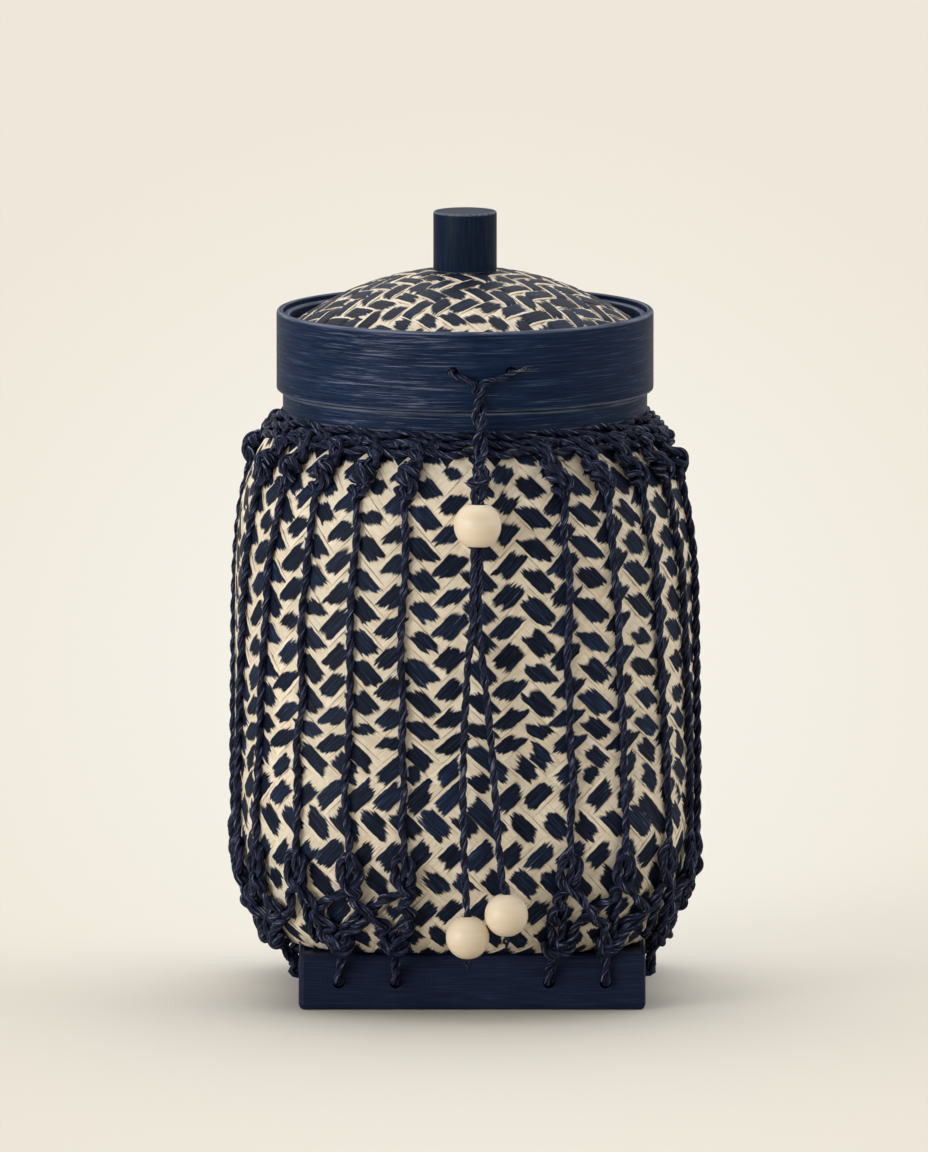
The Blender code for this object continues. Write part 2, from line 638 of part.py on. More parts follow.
def build_knob(parent, wood, natural, steel):
    """The dowel knob, and the washer and screw that hold it from under the dome."""
    radius = KNOB_DIAMETER / 2
    pilot_top = KNOB_BOTTOM + SCREW_DEPTH_IN_KNOB + CLEARANCE
    top = KNOB_BOTTOM + KNOB_HEIGHT
    knob = [
        (0.0, top),
        (radius - KNOB_EDGE, top),
        (radius, top - KNOB_EDGE),
        (radius, KNOB_BOTTOM + KNOB_EDGE / 2),
        (radius - KNOB_EDGE / 2, KNOB_BOTTOM),
        (SCREW_HOLE_RADIUS, KNOB_BOTTOM),
        (SCREW_HOLE_RADIUS, pilot_top),
        (0.0, pilot_top),
    ]
    turned("knob", knob, KNOB_SEGMENTS, parent, wood)
    washer_top = dome_height(SEAT_RADIUS, DOME_THICKNESS + CLEARANCE + DOME_LINING_THICKNESS) - CLEARANCE
    washer_bottom = washer_top - KNOB_WASHER_THICKNESS
    outer = min(KNOB_WASHER_DIAMETER / 2, SEAT_RADIUS)
    washer = [(SCREW_HOLE_RADIUS, washer_top), (outer, washer_top), (outer, washer_bottom), (SCREW_HOLE_RADIUS, washer_bottom)]
    turned("knob_washer", washer, KNOB_SEGMENTS, parent, natural)
    head_top = washer_bottom - CLEARANCE
    head_bottom = head_top - SCREW_HEAD_HEIGHT
    head = SCREW_HEAD_DIAMETER / 2
    shank = SCREW_DIAMETER / 2
    tip = KNOB_BOTTOM + SCREW_DEPTH_IN_KNOB
    screw = [
        (0.0, tip),
        (shank, tip - SCREW_DIAMETER),
        (shank, head_top),
        (head, head_top),
        (head, head_bottom + SCREW_HEAD_HEIGHT / 2),
        (head * 0.6, head_bottom),
        (0.0, head_bottom),
    ]
    turned("knob_screw", screw, SCREW_SEGMENTS, parent, steel)


# The closing cord and its beads

def in_metres(route):
    return [Vector(point) * MM for point in route]


def closing_strand(name, side, hole_side, tail_route, bead_centre, parent, finish):
    """One strand of the closing cord, from its hole in the rim down to the knot under its bead."""
    apart = CORD_RADIUS + CORD_GAP / 2
    face = math.sqrt(RIM_OUTER**2 - hole_side**2)
    mouth = [
        Vector((hole_side, -face + RIM_THICKNESS / 2, RIM_HOLE_HEIGHT)),
        Vector((hole_side, -face - CORD_LIFT, RIM_HOLE_HEIGHT - CORD_LIFT / 2)),
    ]
    twin = []
    for i, point in enumerate(in_metres(TWIN_ROUTE)):
        spread = apart * 1.25 if i == TWIN_KNOT else apart
        twin.append(point + Vector((side * spread, 0.0, 0.0)))
    bead = Vector(bead_centre) * MM
    down = bead - Vector((0.0, 0.0, END_BEAD_DIAMETER / 2 + CLEARANCE))
    fall = [bead + Vector((0.0, 0.0, END_BEAD_DIAMETER * 0.62)), bead, down]
    points = smooth_route(mouth + twin + in_metres(tail_route) + fall, 3.0 * CORD_DIAMETER)
    radii = [CORD_RADIUS] * len(points)
    knot = min(range(len(points)), key=lambda i: (points[i] - twin[TWIN_KNOT]).length)
    radii[knot] = CORD_RADIUS * 1.2
    points += [down - Vector((0.0, 0.0, END_KNOT_HEIGHT * share)) for share in (0.3, 0.7, 1.0)]
    radii += [END_KNOT_RADIUS, END_KNOT_RADIUS, CORD_RADIUS]
    return tube(name, points, radii, parent, finish)


def bead(name, centre, direction, width, height, bore, parent, finish):
    """A turned bead with flattened ends and a bore, centred on its place on the cord."""
    flat = bore + 0.4 * MM
    profile = []
    lean = math.acos(flat / (width / 2))
    for i in range(BEAD_STEPS + 1):
        turn = lean - 2 * lean * i / BEAD_STEPS
        profile.append((width / 2 * math.cos(turn), height / 2 * math.sin(turn) / math.sin(lean)))
    profile += [(bore, -height / 2), (bore, height / 2)]
    made = turned(name, profile, BEAD_SEGMENTS, parent, finish)
    made.rotation_mode = "QUATERNION"
    made.rotation_quaternion = Vector((0.0, 0.0, -1.0)).rotation_difference(direction)
    made.location = centre
    return made


def build_closing_cord(lid, slider, finish, wood):
    sides = {"left": (-1.0, LEFT_ROUTE, LEFT_BEAD_CENTRE), "right": (1.0, RIGHT_ROUTE, RIGHT_BEAD_CENTRE)}
    for (name, (side, route, centre)), hole_side in zip(sides.items(), RIM_HOLE_SIDES):
        closing_strand(f"closing_cord_{name}", side, hole_side, route, centre, lid, finish)
        bore = CORD_RADIUS + CLEARANCE
        place = Vector(centre) * MM
        down = Vector((0.0, 0.0, -1.0))
        bead(f"end_bead_{name}", place, down, END_BEAD_DIAMETER, END_BEAD_DIAMETER * 0.97, bore, lid, wood)
    start, end = (Vector(TWIN_ROUTE[i]) * MM for i in STRAIGHT_RUN)
    along = (end - start).normalized()
    bore = CORD_DIAMETER + CORD_GAP / 2 + CLEARANCE
    bead("slider_bead", start + along * SLIDER_DROP, along, SLIDER_WIDTH, SLIDER_HEIGHT, bore, slider, wood)
    build_bridge(lid, finish)


def build_bridge(parent, finish):
    """The closing cord's stretch inside the lid, from one rim hole to the other."""
    inside = INNER_HOOP_INNER - CORD_DIAMETER
    ends = []
    for side, inward in zip(RIM_HOLE_SIDES, (1.0, -1.0)):
        rim_middle = math.sqrt(RIM_OUTER**2 - side**2) - RIM_THICKNESS / 2
        hoop_face = math.sqrt(INNER_HOOP_INNER**2 - side**2)
        turn = side + inward * CORD_DIAMETER
        ends.append([
            Vector((side, CLEARANCE - rim_middle, RIM_HOLE_HEIGHT)),
            Vector((side, CORD_RADIUS - hoop_face, RIM_HOLE_HEIGHT)),
            Vector((turn, -math.sqrt(inside**2 - turn**2), RIM_HOLE_HEIGHT)),
        ])
    points = ends[0] + ends[1][::-1]
    tube("closing_cord_bridge", points, [CORD_RADIUS] * len(points), parent, finish)


def build():
    for obj in list(bpy.data.objects):
        bpy.data.objects.remove(obj)
    wood = material("indigo_stained_wood", (0.014, 0.024, 0.066), 0.42)
    weave = material("dyed_bamboo_weave", (0.12, 0.12, 0.14), 0.5)
    natural = material("natural_bamboo", (0.66, 0.50, 0.30), 0.5)
    cord = material("indigo_cord", (0.017, 0.020, 0.042), 0.75)
    bead_wood = material("pale_bead_wood", (0.80, 0.62, 0.40), 0.38)
    steel = material("screw_steel", (0.5, 0.5, 0.5), 0.35, 1.0)

    basket = pivot("basket")
    lid = pivot("lid", parent=basket)
    slider = pivot("slider", parent=lid)
    build_base(basket, wood)
    build_baskets(basket, weave, natural)
    build_mouth(basket, wood, natural)
    build_net(basket, cord)
    build_lid(lid, wood, weave, natural)
    build_knob(lid, wood, natural, steel)
    build_closing_cord(lid, slider, cord, bead_wood)


build()
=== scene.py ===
# %% [markdown]
# # A sticky rice basket, dressed over its CAD frame
# The real object is a lidded basket woven from bamboo strips that were dyed indigo in patches. It stands on
# a stained wooden foot and hangs in a net of twisted cord. The CAD model says where every piece is. This
# lesson makes the surfaces that meet the eye: the weave, the cords and their knots, and the stained wood.

import functools
import math

import bpy
import numpy as np
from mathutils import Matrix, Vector


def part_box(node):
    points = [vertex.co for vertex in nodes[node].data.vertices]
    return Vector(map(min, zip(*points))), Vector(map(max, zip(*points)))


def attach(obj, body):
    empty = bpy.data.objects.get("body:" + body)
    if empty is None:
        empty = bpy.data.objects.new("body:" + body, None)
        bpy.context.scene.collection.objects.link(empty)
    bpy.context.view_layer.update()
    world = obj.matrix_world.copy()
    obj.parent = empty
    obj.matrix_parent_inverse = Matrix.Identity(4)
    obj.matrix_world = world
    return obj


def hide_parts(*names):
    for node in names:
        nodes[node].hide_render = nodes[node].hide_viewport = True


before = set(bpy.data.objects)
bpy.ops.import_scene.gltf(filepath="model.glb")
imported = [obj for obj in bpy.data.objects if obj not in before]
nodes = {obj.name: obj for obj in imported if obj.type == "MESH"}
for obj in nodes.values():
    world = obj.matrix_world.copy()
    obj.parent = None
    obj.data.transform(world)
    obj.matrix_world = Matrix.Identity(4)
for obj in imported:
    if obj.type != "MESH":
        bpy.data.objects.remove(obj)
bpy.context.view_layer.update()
MM = 0.001

# %% [markdown]
# ## The camera
# The photograph was taken from far away with a long lens, seven and a half degrees above level, so upright
# lines stay upright and near and far parts have almost one scale. A camera twelve metres away with a narrow
# view gives the same. The picture is 1152 pixels tall and each pixel covers 0.285 mm of the basket.

# %% The camera
PIXEL = 0.285 * MM
PICTURE_HEIGHT = 1152
CAMERA_DISTANCE = 12.0
CAMERA_RISE = math.radians(7.5)
SENSOR = 36.0
looked_at = Vector((-0.3 * MM, 0.0, 118.0 * MM))


def placed(name, data):
    """A new object in the scene."""
    made = bpy.data.objects.new(name, data)
    bpy.context.scene.collection.objects.link(made)
    return made


camera_data = bpy.data.cameras.new("camera")
camera_data.sensor_fit = "VERTICAL"
camera_data.sensor_height = SENSOR
camera_data.lens = SENSOR * CAMERA_DISTANCE / (PICTURE_HEIGHT * PIXEL)
camera_data.clip_end = 100.0
camera = placed("camera", camera_data)
camera.location = looked_at + CAMERA_DISTANCE * Vector((0.0, -math.cos(CAMERA_RISE), math.sin(CAMERA_RISE)))
camera.rotation_euler = (math.pi / 2 - CAMERA_RISE, 0.0, 0.0)
bpy.context.scene.camera = camera
print("lens", round(camera_data.lens), "mm")

# %% [markdown]
# ## Helpers for meshes
# Each piece is made from plain lists of points and faces, so that every form follows from a few real sizes.
# A mesh part is its points, its faces and one texture coordinate for each corner of each face. Texture
# coordinates are in millimetres along a strip or cord, so that a finish keeps its real scale on every piece.

# %% Mesh helpers
SHARP_FROM = math.radians(50.0)  # faces that meet at more than this keep a sharp edge


def joined(parts):
    """Several (points, faces, coordinates) parts as one."""
    points, faces, coordinates = [], [], []
    for part_points, part_faces, part_coordinates in parts:
        start = len(points)
        points += [tuple(point) for point in part_points]
        faces += [[start + corner for corner in face] for face in part_faces]
        coordinates += part_coordinates
    return points, faces, coordinates


def piece(name, parts, finish, body, stands_for=()):
    """A piece of the basket from its mesh parts, riding on a CAD body."""
    points, faces, coordinates = joined(parts)
    mesh = bpy.data.meshes.new(name)
    mesh.from_pydata(points, [], faces)
    layer = mesh.uv_layers.new(name="run")
    layer.data.foreach_set("uv", np.array(coordinates, np.float32).ravel())
    mesh.shade_smooth()
    mesh.set_sharp_from_angle(angle=SHARP_FROM)
    mesh.materials.append(finish)
    made = placed(name, mesh)
    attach(made, body)
    if stands_for:
        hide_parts(*stands_for)
    print(name, "has", len(faces), "faces and rides on", body)
    return made


def keep_values(made, name, values, kind="FLOAT"):
    """Stores a number, or three with kind FLOAT_VECTOR, on each point of a piece for its finish to read."""
    layer = made.data.attributes.new(name, kind, "POINT")
    layer.data.foreach_set("value" if kind == "FLOAT" else "vector", np.array(values, np.float32).ravel())

# %% [markdown]
# A cord follows a smooth curve through a few given points, and a strip, a hoop or a wall is a grid of points.
# The helpers for a path and for a grid's faces carry most of the basket.

# %% Paths and grids
def smooth_path(route, step):
    """Points about a step apart on a smooth curve through the route's points."""
    route = np.array(route, float)
    ends = np.vstack([2 * route[0] - route[1], route, 2 * route[-1] - route[-2]])
    found = []
    for before, start, end, after in zip(ends, ends[1:], ends[2:], ends[3:]):
        count = max(1, round(float(np.linalg.norm(end - start)) / step))
        t = (np.arange(count) / count)[:, None]
        bend = 2 * before - 5 * start + 4 * end - after
        twist = 3 * start - before - 3 * end + after
        found.append(0.5 * (2 * start + (end - before) * t + bend * t**2 + twist * t**3))
    return np.vstack([*found, route[-1:]])


def lengths_along(points):
    """The length of a path up to each of its points."""
    return np.concatenate([[0.0], np.cumsum(np.linalg.norm(np.diff(points, axis=0), axis=1))])


def grid_faces(rows, columns, closed=True):
    """The faces of a grid of points, row after row, and the (row, column) of each face's four corners."""
    faces, corners = [], []
    for i in range(rows - 1):
        for j in range(columns if closed else columns - 1):
            k = (j + 1) % columns
            faces.append([i * columns + j, i * columns + k, (i + 1) * columns + k, (i + 1) * columns + j])
            corners += [(i, j), (i, j + 1), (i + 1, j + 1), (i + 1, j)]
    return faces, corners


def capped(part, count):
    """A part with its first and last rings closed flat."""
    points, faces, coordinates = part
    last = len(points) - count
    faces = faces + [list(range(count))[::-1], [last + j for j in range(count)]]
    return points, faces, coordinates + [(0.0, 0.0)] * (2 * count)

# %% [markdown]
# ## Twisted cord
# The net is laid cord: two soft yarns turned round each other. A round tube would miss the spiral groove
# that gives such a cord its look. Here the section is the outline of two yarns side by side, and it turns
# once every 11 mm along the path. One tube with that outline costs less than two tubes and has a real groove.

# %% Twisted cord
CORD_RADIUS = 1.2 * MM
CORD_PITCH = 11.0 * MM
CORD_STEP = 0.75 * MM
CORD_SIDES = 12
YARN_APART, YARN_RADIUS = 0.38, 0.62  # of the cord's radius


def frames_along(points):
    """Two directions across a path that don't twist on the way."""
    ahead = np.gradient(points, axis=0)
    ahead /= np.linalg.norm(ahead, axis=1)[:, None]
    start = np.cross(ahead[0], (0.0, 1.0, 0.3))
    across = [start / np.linalg.norm(start)]
    for direction in ahead[1:]:
        turned = across[-1] - direction * np.dot(across[-1], direction)
        across.append(turned / np.linalg.norm(turned))
    across = np.array(across)
    return across, np.cross(ahead, across)


def twisted(path, radius=CORD_RADIUS, phase=0.0, taper=None):
    """A length of two-ply cord along a path, as a mesh part. taper is the share of the radius at each end."""
    points = smooth_path(path, CORD_STEP)
    across, other = frames_along(points)
    lengths = lengths_along(points)
    around = np.arange(CORD_SIDES) / CORD_SIDES * math.tau
    far_side = np.sqrt(np.maximum(YARN_RADIUS**2 - (YARN_APART * np.sin(around)) ** 2, 0.0))
    reach = YARN_APART * np.abs(np.cos(around)) + far_side
    turn = around[None, :] + lengths[:, None] / (CORD_PITCH * radius / CORD_RADIUS) * math.tau + phase
    size = np.full(len(points), radius)
    if taper:
        size = radius * (taper[0] + (taper[1] - taper[0]) * lengths / lengths[-1])
    reach = reach[None, :] * size[:, None]
    rings = (
        points[:, None, :]
        + across[:, None, :] * (np.cos(turn) * reach)[..., None]
        + other[:, None, :] * (np.sin(turn) * reach)[..., None]
    )
    faces, corners = grid_faces(len(points), CORD_SIDES)
    coordinates = [(lengths[i] / MM, j / CORD_SIDES) for i, j in corners]
    return capped((rings.reshape(-1, 3).tolist(), faces, coordinates), CORD_SIDES)

# %% [markdown]
# ## Nodes and colours
# Colours are written as the hex values that a screen shows, and one function turns them into the linear
# values that Cycles works with. One small function adds a shader node with its settings and links.

# %% Nodes and colours
def linear(hex_colour):
    """A screen colour such as #1d2a4a as linear red, green, blue and alpha."""
    parts = [int(hex_colour[i : i + 2], 16) / 255 for i in (1, 3, 5)]
    light = [part / 12.92 if part <= 0.04045 else ((part + 0.055) / 1.055) ** 2.4 for part in parts]
    return (*light, 1.0)


def set_inputs(node, inputs):
    """Sets a node's inputs to values, or links them to sockets or to the first output of other nodes."""
    for name, value in inputs.items():
        if isinstance(value, bpy.types.Node):
            value = next(socket for socket in value.outputs if socket.enabled)
        if isinstance(value, bpy.types.NodeSocket):
            node.id_data.links.new(value, node.inputs[name])
        else:
            node.inputs[name].default_value = value


def add_node(tree, kind, inputs=None, stops=None, **settings):
    """A shader node with its settings, its colour stops if it has any, and its inputs."""
    made = tree.nodes.new("ShaderNode" + kind)
    for name, value in settings.items():
        setattr(made, name, value)
    if stops:
        while len(made.color_ramp.elements) < len(stops):
            made.color_ramp.elements.new(0.5)
        for element, (place, colour) in zip(made.color_ramp.elements, stops):
            element.position, element.color = place, linear(colour)
    set_inputs(made, inputs or {})
    return made


def new_finish(name, values):
    """A material with these values on its shader. Gives it, the shader, and what adds nodes to it."""
    made = bpy.data.materials.new(name)
    made.use_nodes = True
    shader = made.node_tree.nodes["Principled BSDF"]
    set_inputs(shader, values)
    print("finish:", name)
    return made, shader, functools.partial(add_node, made.node_tree)


def streaks(add, place, scale, detail, roughness=0.6):
    """A pattern of fibres or grain: noise with its own count of cycles per unit in each direction."""
    stretch = add("Mapping", {"Vector": place, "Scale": scale})
    return add("TexNoise", {"Vector": stretch, "Scale": 1.0, "Detail": detail, "Roughness": roughness})

# %% [markdown]
# ## The cord's finish
# The cord is cotton or hemp yarn, dyed dark indigo by dipping. Yarn is rough, so it is matt. Its fibres lie
# side by side as fine streaks along each ply, and the palest of the streaks are painted glints. The streaks
# are stretched noise: long along the cord and narrow round it. A real fibre is a hundredth of a millimetre,
# far too fine to show, so the streaks are drawn as coarse as bundles of fibres, about half a millimetre. The
# groove between the two plies is painted darker, as painted shade.

# %% Dyed cord
values = {"Roughness": 0.5, "Specular IOR Level": 0.08, "Sheen Weight": 0.01, "Sheen Roughness": 0.4}
dyed_cord, shader, add = new_finish("indigo_dyed_two_ply_cord", values)
run = add("UVMap", uv_map="run")
fibres = streaks(add, run, (0.28, 14.0, 1.0), 3.0)
# The palest stop paints glints along the fibres
indigo = [(0.34, "#080b14"), (0.47, "#191e34"), (0.58, "#363d5a"), (0.68, "#8a92ac")]
cord_colour = add("ValToRGB", {"Fac": fibres}, indigo)
round_cord = add("SeparateXYZ", {"Vector": run})
ply = add("Math", {0: round_cord.outputs["Y"], 1: math.tau}, operation="MULTIPLY")
for operation in ("COSINE", "ABSOLUTE"):
    ply = add("Math", {0: ply}, operation=operation)
# Painted shade: the groove between the two plies is darkened
groove_painted_shade = add("MapRange", {"Value": ply, "From Min": 0.05, "From Max": 0.6, "To Min": 0.15})
shaded = add("HueSaturation", {"Value": groove_painted_shade, "Color": cord_colour})
relief = add("Bump", {"Height": fibres, "Strength": 0.8, "Distance": 0.3 * MM})
set_inputs(shader, {"Base Color": shaded, "Normal": relief})

# %% [markdown]
# ## The closing cord
# Two strands come out of two holes in the lid's rim, meet in a V, wind round each other down to a knot,
# pass through the slider bead and part again. Each ends in a bead with a knot under it. They are free cords,
# so they follow the CAD's own routes, which are repeated here in millimetres. Between the V and the knot the
# two strands turn round each other, half a turn every 9 mm.

# %% The closing cord
TWIN_ROUTE = (
    (3.9, -55.6, 180.2), (4.0, -55.6, 174.0), (4.3, -57.2, 166.5), (4.3, -60.1, 159.8), (4.0, -65.9, 153.6),
    (3.72, -70.82, 150.4), (3.69, -70.90, 148.8), (3.00, -72.65, 116.8), (2.93, -72.83, 113.5),
)
WOUND = 6  # points of it between which the strands turn round each other
TAILS = {
    "left": (
        (0.9, -72.6, 103.0), (0.0, -72.3, 88.0), (-0.57, -72.0, 68.6), (-0.3, -71.9, 48.0),
        (0.4, -71.9, 33.0),
    ),
    "right": (
        (4.9, -72.6, 103.0), (6.6, -72.3, 88.0), (8.27, -72.0, 68.6), (9.5, -71.9, 50.0), (10.9, -71.9, 38.0),
    ),
}
BEAD_CENTRES = {"left": (0.71, -71.9, 24.1), "right": (11.7, -71.9, 30.5)}
RIM_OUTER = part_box("lid_rim")[1].x
RIM_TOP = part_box("lid_rim")[1].z
RIM_HOLE_HEIGHT = RIM_TOP - 11.5 * MM
RIM_HOLE_SIDES = {"left": -3.4 * MM, "right": 13.0 * MM}
END_BEAD = 12.3 * MM
CLEARANCE = 0.3 * MM
CORD_LIFT = CORD_RADIUS + CLEARANCE
HALF_TURNS = 4
WINDING = np.array((1.25, -0.9375, 0.0)) * MM  # half widths of the spiral, sideways and forwards
STRAIGHT_APART = np.array((0.85, 0.55, 0.0)) * MM
UP = np.array((0.0, 0.0, 1.0))


def closing_path(side, hole_side, tail, bead_centre):
    """One strand's centre line, from its hole in the rim to the knot under its bead."""
    face = math.sqrt(RIM_OUTER**2 - hole_side**2)
    mouth = [
        (hole_side, -face + 0.9 * MM, RIM_HOLE_HEIGHT),
        (hole_side, -face - CORD_LIFT, RIM_HOLE_HEIGHT - CORD_LIFT / 2),
    ]
    together = smooth_path(np.array(TWIN_ROUTE[:WOUND]) * MM, 2.2 * MM)
    lengths = lengths_along(together)
    turn = math.pi * HALF_TURNS * lengths / lengths[-1]
    wound = together + side * WINDING * np.stack([np.cos(turn), np.sin(turn), turn], axis=1)
    straight = np.array(TWIN_ROUTE[WOUND:]) * MM + side * STRAIGHT_APART
    centre = np.array(bead_centre) * MM
    fall = [centre + UP * END_BEAD * 0.62, centre, centre - UP * (END_BEAD / 2 + CLEARANCE)]
    return smooth_path([*mouth, *wound, *straight, *(np.array(tail) * MM), *fall], 1.2 * MM)

# %% [markdown]
# Under each bead the cord ends in a small overhand knot, and the loose yarn below the knot has frayed. Two
# short routes make the knot, and six thin tapered hairs make the fray.

# %% The strands and their end knots
END_KNOT_ROUTES = (
    (
        (0.0, 0.0, 0.4), (0.9, 0.3, -0.8), (1.3, -0.5, -2.2), (0.2, -1.2, -3.2), (-1.2, -0.4, -2.6),
        (-1.2, 0.7, -1.4),
    ),
    (
        (-1.2, 0.7, -1.4), (-0.2, 1.1, -0.7), (0.9, 0.2, -1.6), (0.5, -0.9, -3.0), (0.1, -0.2, -4.4),
        (-0.3, 0.1, -6.2),
    ),
)
END_KNOT_SIZE = 0.55 * MM


def end_knot(top, seed):
    """A small overhand knot with a frayed end, hanging from a point."""
    size = END_KNOT_SIZE
    knot = [twisted(top + np.array(route) * size, END_KNOT_SIZE, seed) for route in END_KNOT_ROUTES]
    chance = np.random.default_rng(seed)
    for _ in range(6):
        start = top + np.array((*chance.uniform(-0.5, 0.5, 2) - (0.3, 0.0), -5.8)) * size
        lean = np.array((*chance.uniform(-1.4, 1.4, 2), -chance.uniform(1.0, 2.2))) * size
        bend = np.array((*chance.uniform(-0.5, 0.5, 2), 0.0)) * size
        knot.append(twisted([start, start + lean * 0.5 + bend, start + lean], 0.12 * MM, 0.0, (1.0, 0.3)))
    return knot


closing_strands = {}
for number, (name, side) in enumerate((("left", -1.0), ("right", 1.0))):
    path = closing_path(side, RIM_HOLE_SIDES[name], TAILS[name], BEAD_CENTRES[name])
    length = float(lengths_along(path)[-1])
    strand = piece(
        f"closing_strand_{name}", [twisted(path, phase=number)], dyed_cord, "lid", [f"closing_cord_{name}"],
    )
    knot = piece(f"end_knot_{name}", end_knot(path[-1], 3 + number), dyed_cord, "lid", ())
    closing_strands[name] = (strand, knot, path, length)
    print(name, "strand of the closing cord:", round(length / MM), "mm")

# %% [markdown]
# ## The basket's form
# The wall starts as a rounded square on the foot and ends as a circle at the mouth, and it bulges in between.
# The same formula as in the CAD source gives any point of it from an angle round the basket and a height
# above its bottom. Everything that lies on the wall, strips and cords alike, is placed with it.

# %% The basket's surface
BASKET_BOTTOM = 16.3 * MM
FOOT_HALF_WIDTH = 48.0 * MM
BELLY_HALF_WIDTH = 65.4 * MM
BELLY_START = 43.7 * MM
BELLY_END = 84.0 * MM
SHOULDER_END = 149.0 * MM
MOUTH = 165.0 * MM
FOOT_SQUARENESS = 3.6
NECK_RADIUS = 48.7 * MM


def half_width(height):
    """How far the wall stands from the axis, at the front, at a height above its bottom."""
    foot_share = np.clip(1.0 - height / BELLY_START, 0.0, 1.0)
    foot = FOOT_HALF_WIDTH + (BELLY_HALF_WIDTH - FOOT_HALF_WIDTH) * np.sqrt(1.0 - foot_share**2)
    share = np.clip((height - BELLY_END) / (SHOULDER_END - BELLY_END), 0.0, 1.0)
    shoulder = NECK_RADIUS + (BELLY_HALF_WIDTH - NECK_RADIUS) * (1.0 - share**4) ** 0.8
    return np.where(height < BELLY_END, foot, shoulder)


def wall_point(angle, height):
    """Points of the wall from arrays of angles, counted from the front, and heights above its bottom."""
    power = 2.0 + (FOOT_SQUARENESS - 2.0) * (1.0 - np.clip(height / SHOULDER_END, 0.0, 1.0))
    side, front = np.sin(angle), np.cos(angle)
    reach = (np.abs(side) ** power + np.abs(front) ** power) ** (-1.0 / power) * half_width(height)
    return np.stack([reach * side, -reach * front, BASKET_BOTTOM + height], axis=-1)


def on_wall(angle, height, lift):
    """Points lifted off the wall along its normal."""
    angle, height, lift = np.broadcast_arrays(*(np.asarray(value, float) for value in (angle, height, lift)))
    small_turn, small_rise = 0.01, 0.3 * MM
    across = wall_point(angle + small_turn, height) - wall_point(angle - small_turn, height)
    up = wall_point(angle, height + small_rise) - wall_point(angle, np.maximum(height - small_rise, 0.0))
    normal = np.cross(across, up)
    normal /= np.linalg.norm(normal, axis=-1)[..., None]
    return wall_point(angle, height) + normal * lift[..., None]


profile_heights = np.linspace(0.0, MOUTH, 661)
profile_steps = np.hypot(np.diff(half_width(profile_heights)), np.diff(profile_heights))
profile_lengths = np.concatenate([[0.0], np.cumsum(profile_steps)])


def length_up(height):
    """The length along the wall from its bottom edge up to a height."""
    return np.interp(height, profile_heights, profile_lengths)


def height_at(length):
    """The height that a length along the wall comes to."""
    return np.interp(length, profile_lengths, profile_heights)


print("the wall is", round(profile_lengths[-1] / MM), "mm from foot to mouth")

# %% [markdown]
# ## Weaving with strips
# The wall is a diagonal twill: strips run up to the right and up to the left, and each passes over two and
# under two others. Only the parts that lie on top show, so each such float is a ribbon of its own. It is a
# little crowned, has thin side walls, and dives under its neighbours at both ends. The next strip's edge then
# lies over it and makes the thin dark line that the eye reads as weave.
#
# Each float remembers where its middle is, in millimetres along the strip, and how much of it is dyed.
# The dye is different on every float, so these values come from a seeded random generator.

# %% Ribbons for the floats
STRIP_SET_IN = 0.12 * MM  # the surface that the strips lie on is this far inside the wall's
STRIP_HALF = 0.496  # of the strips' spacing, so that a thin gap stays between neighbours
STRIP_RELIEF = 0.21 * MM
STRIP_CROWN = 0.12 * MM
STRIP_EDGE = 0.24 * MM
ACROSS = ((-1.0, -STRIP_EDGE), (-0.97, 0.0), (0.0, STRIP_CROWN), (0.97, 0.0), (1.0, -STRIP_EDGE))
# In crossings: how far a ribbon goes on past its last one, and where it begins to dive, and how fast
PAST_END, DIVE_START, DIVE_LENGTH = 0.6, 0.14, 0.36


def floats_of(crossings):
    """The runs of crossings that a strip passes over, as (first, last), from a list of booleans."""
    runs, start = [], None
    for i, over in enumerate([*crossings, False]):
        if over and start is None:
            start = i
        if not over and start is not None:
            runs.append((start, i - 1))
            start = None
    return runs


def woven(name, floats, place, spacing, finish, body, stands_for, steps=5):
    """A woven surface from its floats. place turns a strip's kind and index, a place along it and one across
    it, all in strip spacings, and a lift into points. Each float is (kind, index, first, last, low, high,
    dye). Its dye is half its dyed length, the limits across it, and the slant of its ends."""
    points, faces, coordinates, dyes, seeds = [], [], [], [], []
    width = len(ACROSS)
    shares, rises = np.array(ACROSS).T
    for number, (kind, index, first, last, low, high, (*dye, slant)) in enumerate(floats):
        middle, half = (first + last) / 2, (last - first) / 2
        reach = half + PAST_END
        along = np.linspace(middle - reach, middle + reach, max(6, round(2 * reach * steps)))
        along = np.clip(along, low, high)
        dive = np.clip((np.abs(along - middle) - (half + DIVE_START)) / DIVE_LENGTH, 0.0, 1.0)
        lift = STRIP_RELIEF * (1.0 - 2.0 * dive * dive * (3.0 - 2.0 * dive))
        grid_along = np.repeat(along, width)
        grid_across = np.tile(shares * STRIP_HALF, len(along))
        grid_lift = np.repeat(lift, width) + np.tile(rises, len(along))
        count = len(seeds)
        points.append(place(kind, index, grid_along, grid_across, grid_lift))
        run = (grid_along - middle - slant * grid_across) * spacing / MM
        over = grid_across / STRIP_HALF
        ribbon, corners = grid_faces(len(along), width, closed=False)
        faces += [[count + corner for corner in face] for face in ribbon]
        coordinates += [(run[i * width + j], over[i * width + j]) for i, j in corners]
        dyes += [dye] * len(grid_along)
        seeds += [(number * 0.618034) % 1.0] * len(grid_along)
    made = piece(name, [(np.vstack(points).tolist(), faces, coordinates)], finish, body, stands_for)
    keep_values(made, "dye", dyes, "FLOAT_VECTOR")
    keep_values(made, "seed", seeds)
    print(name, "is woven of", len(floats), "floats")
    return made

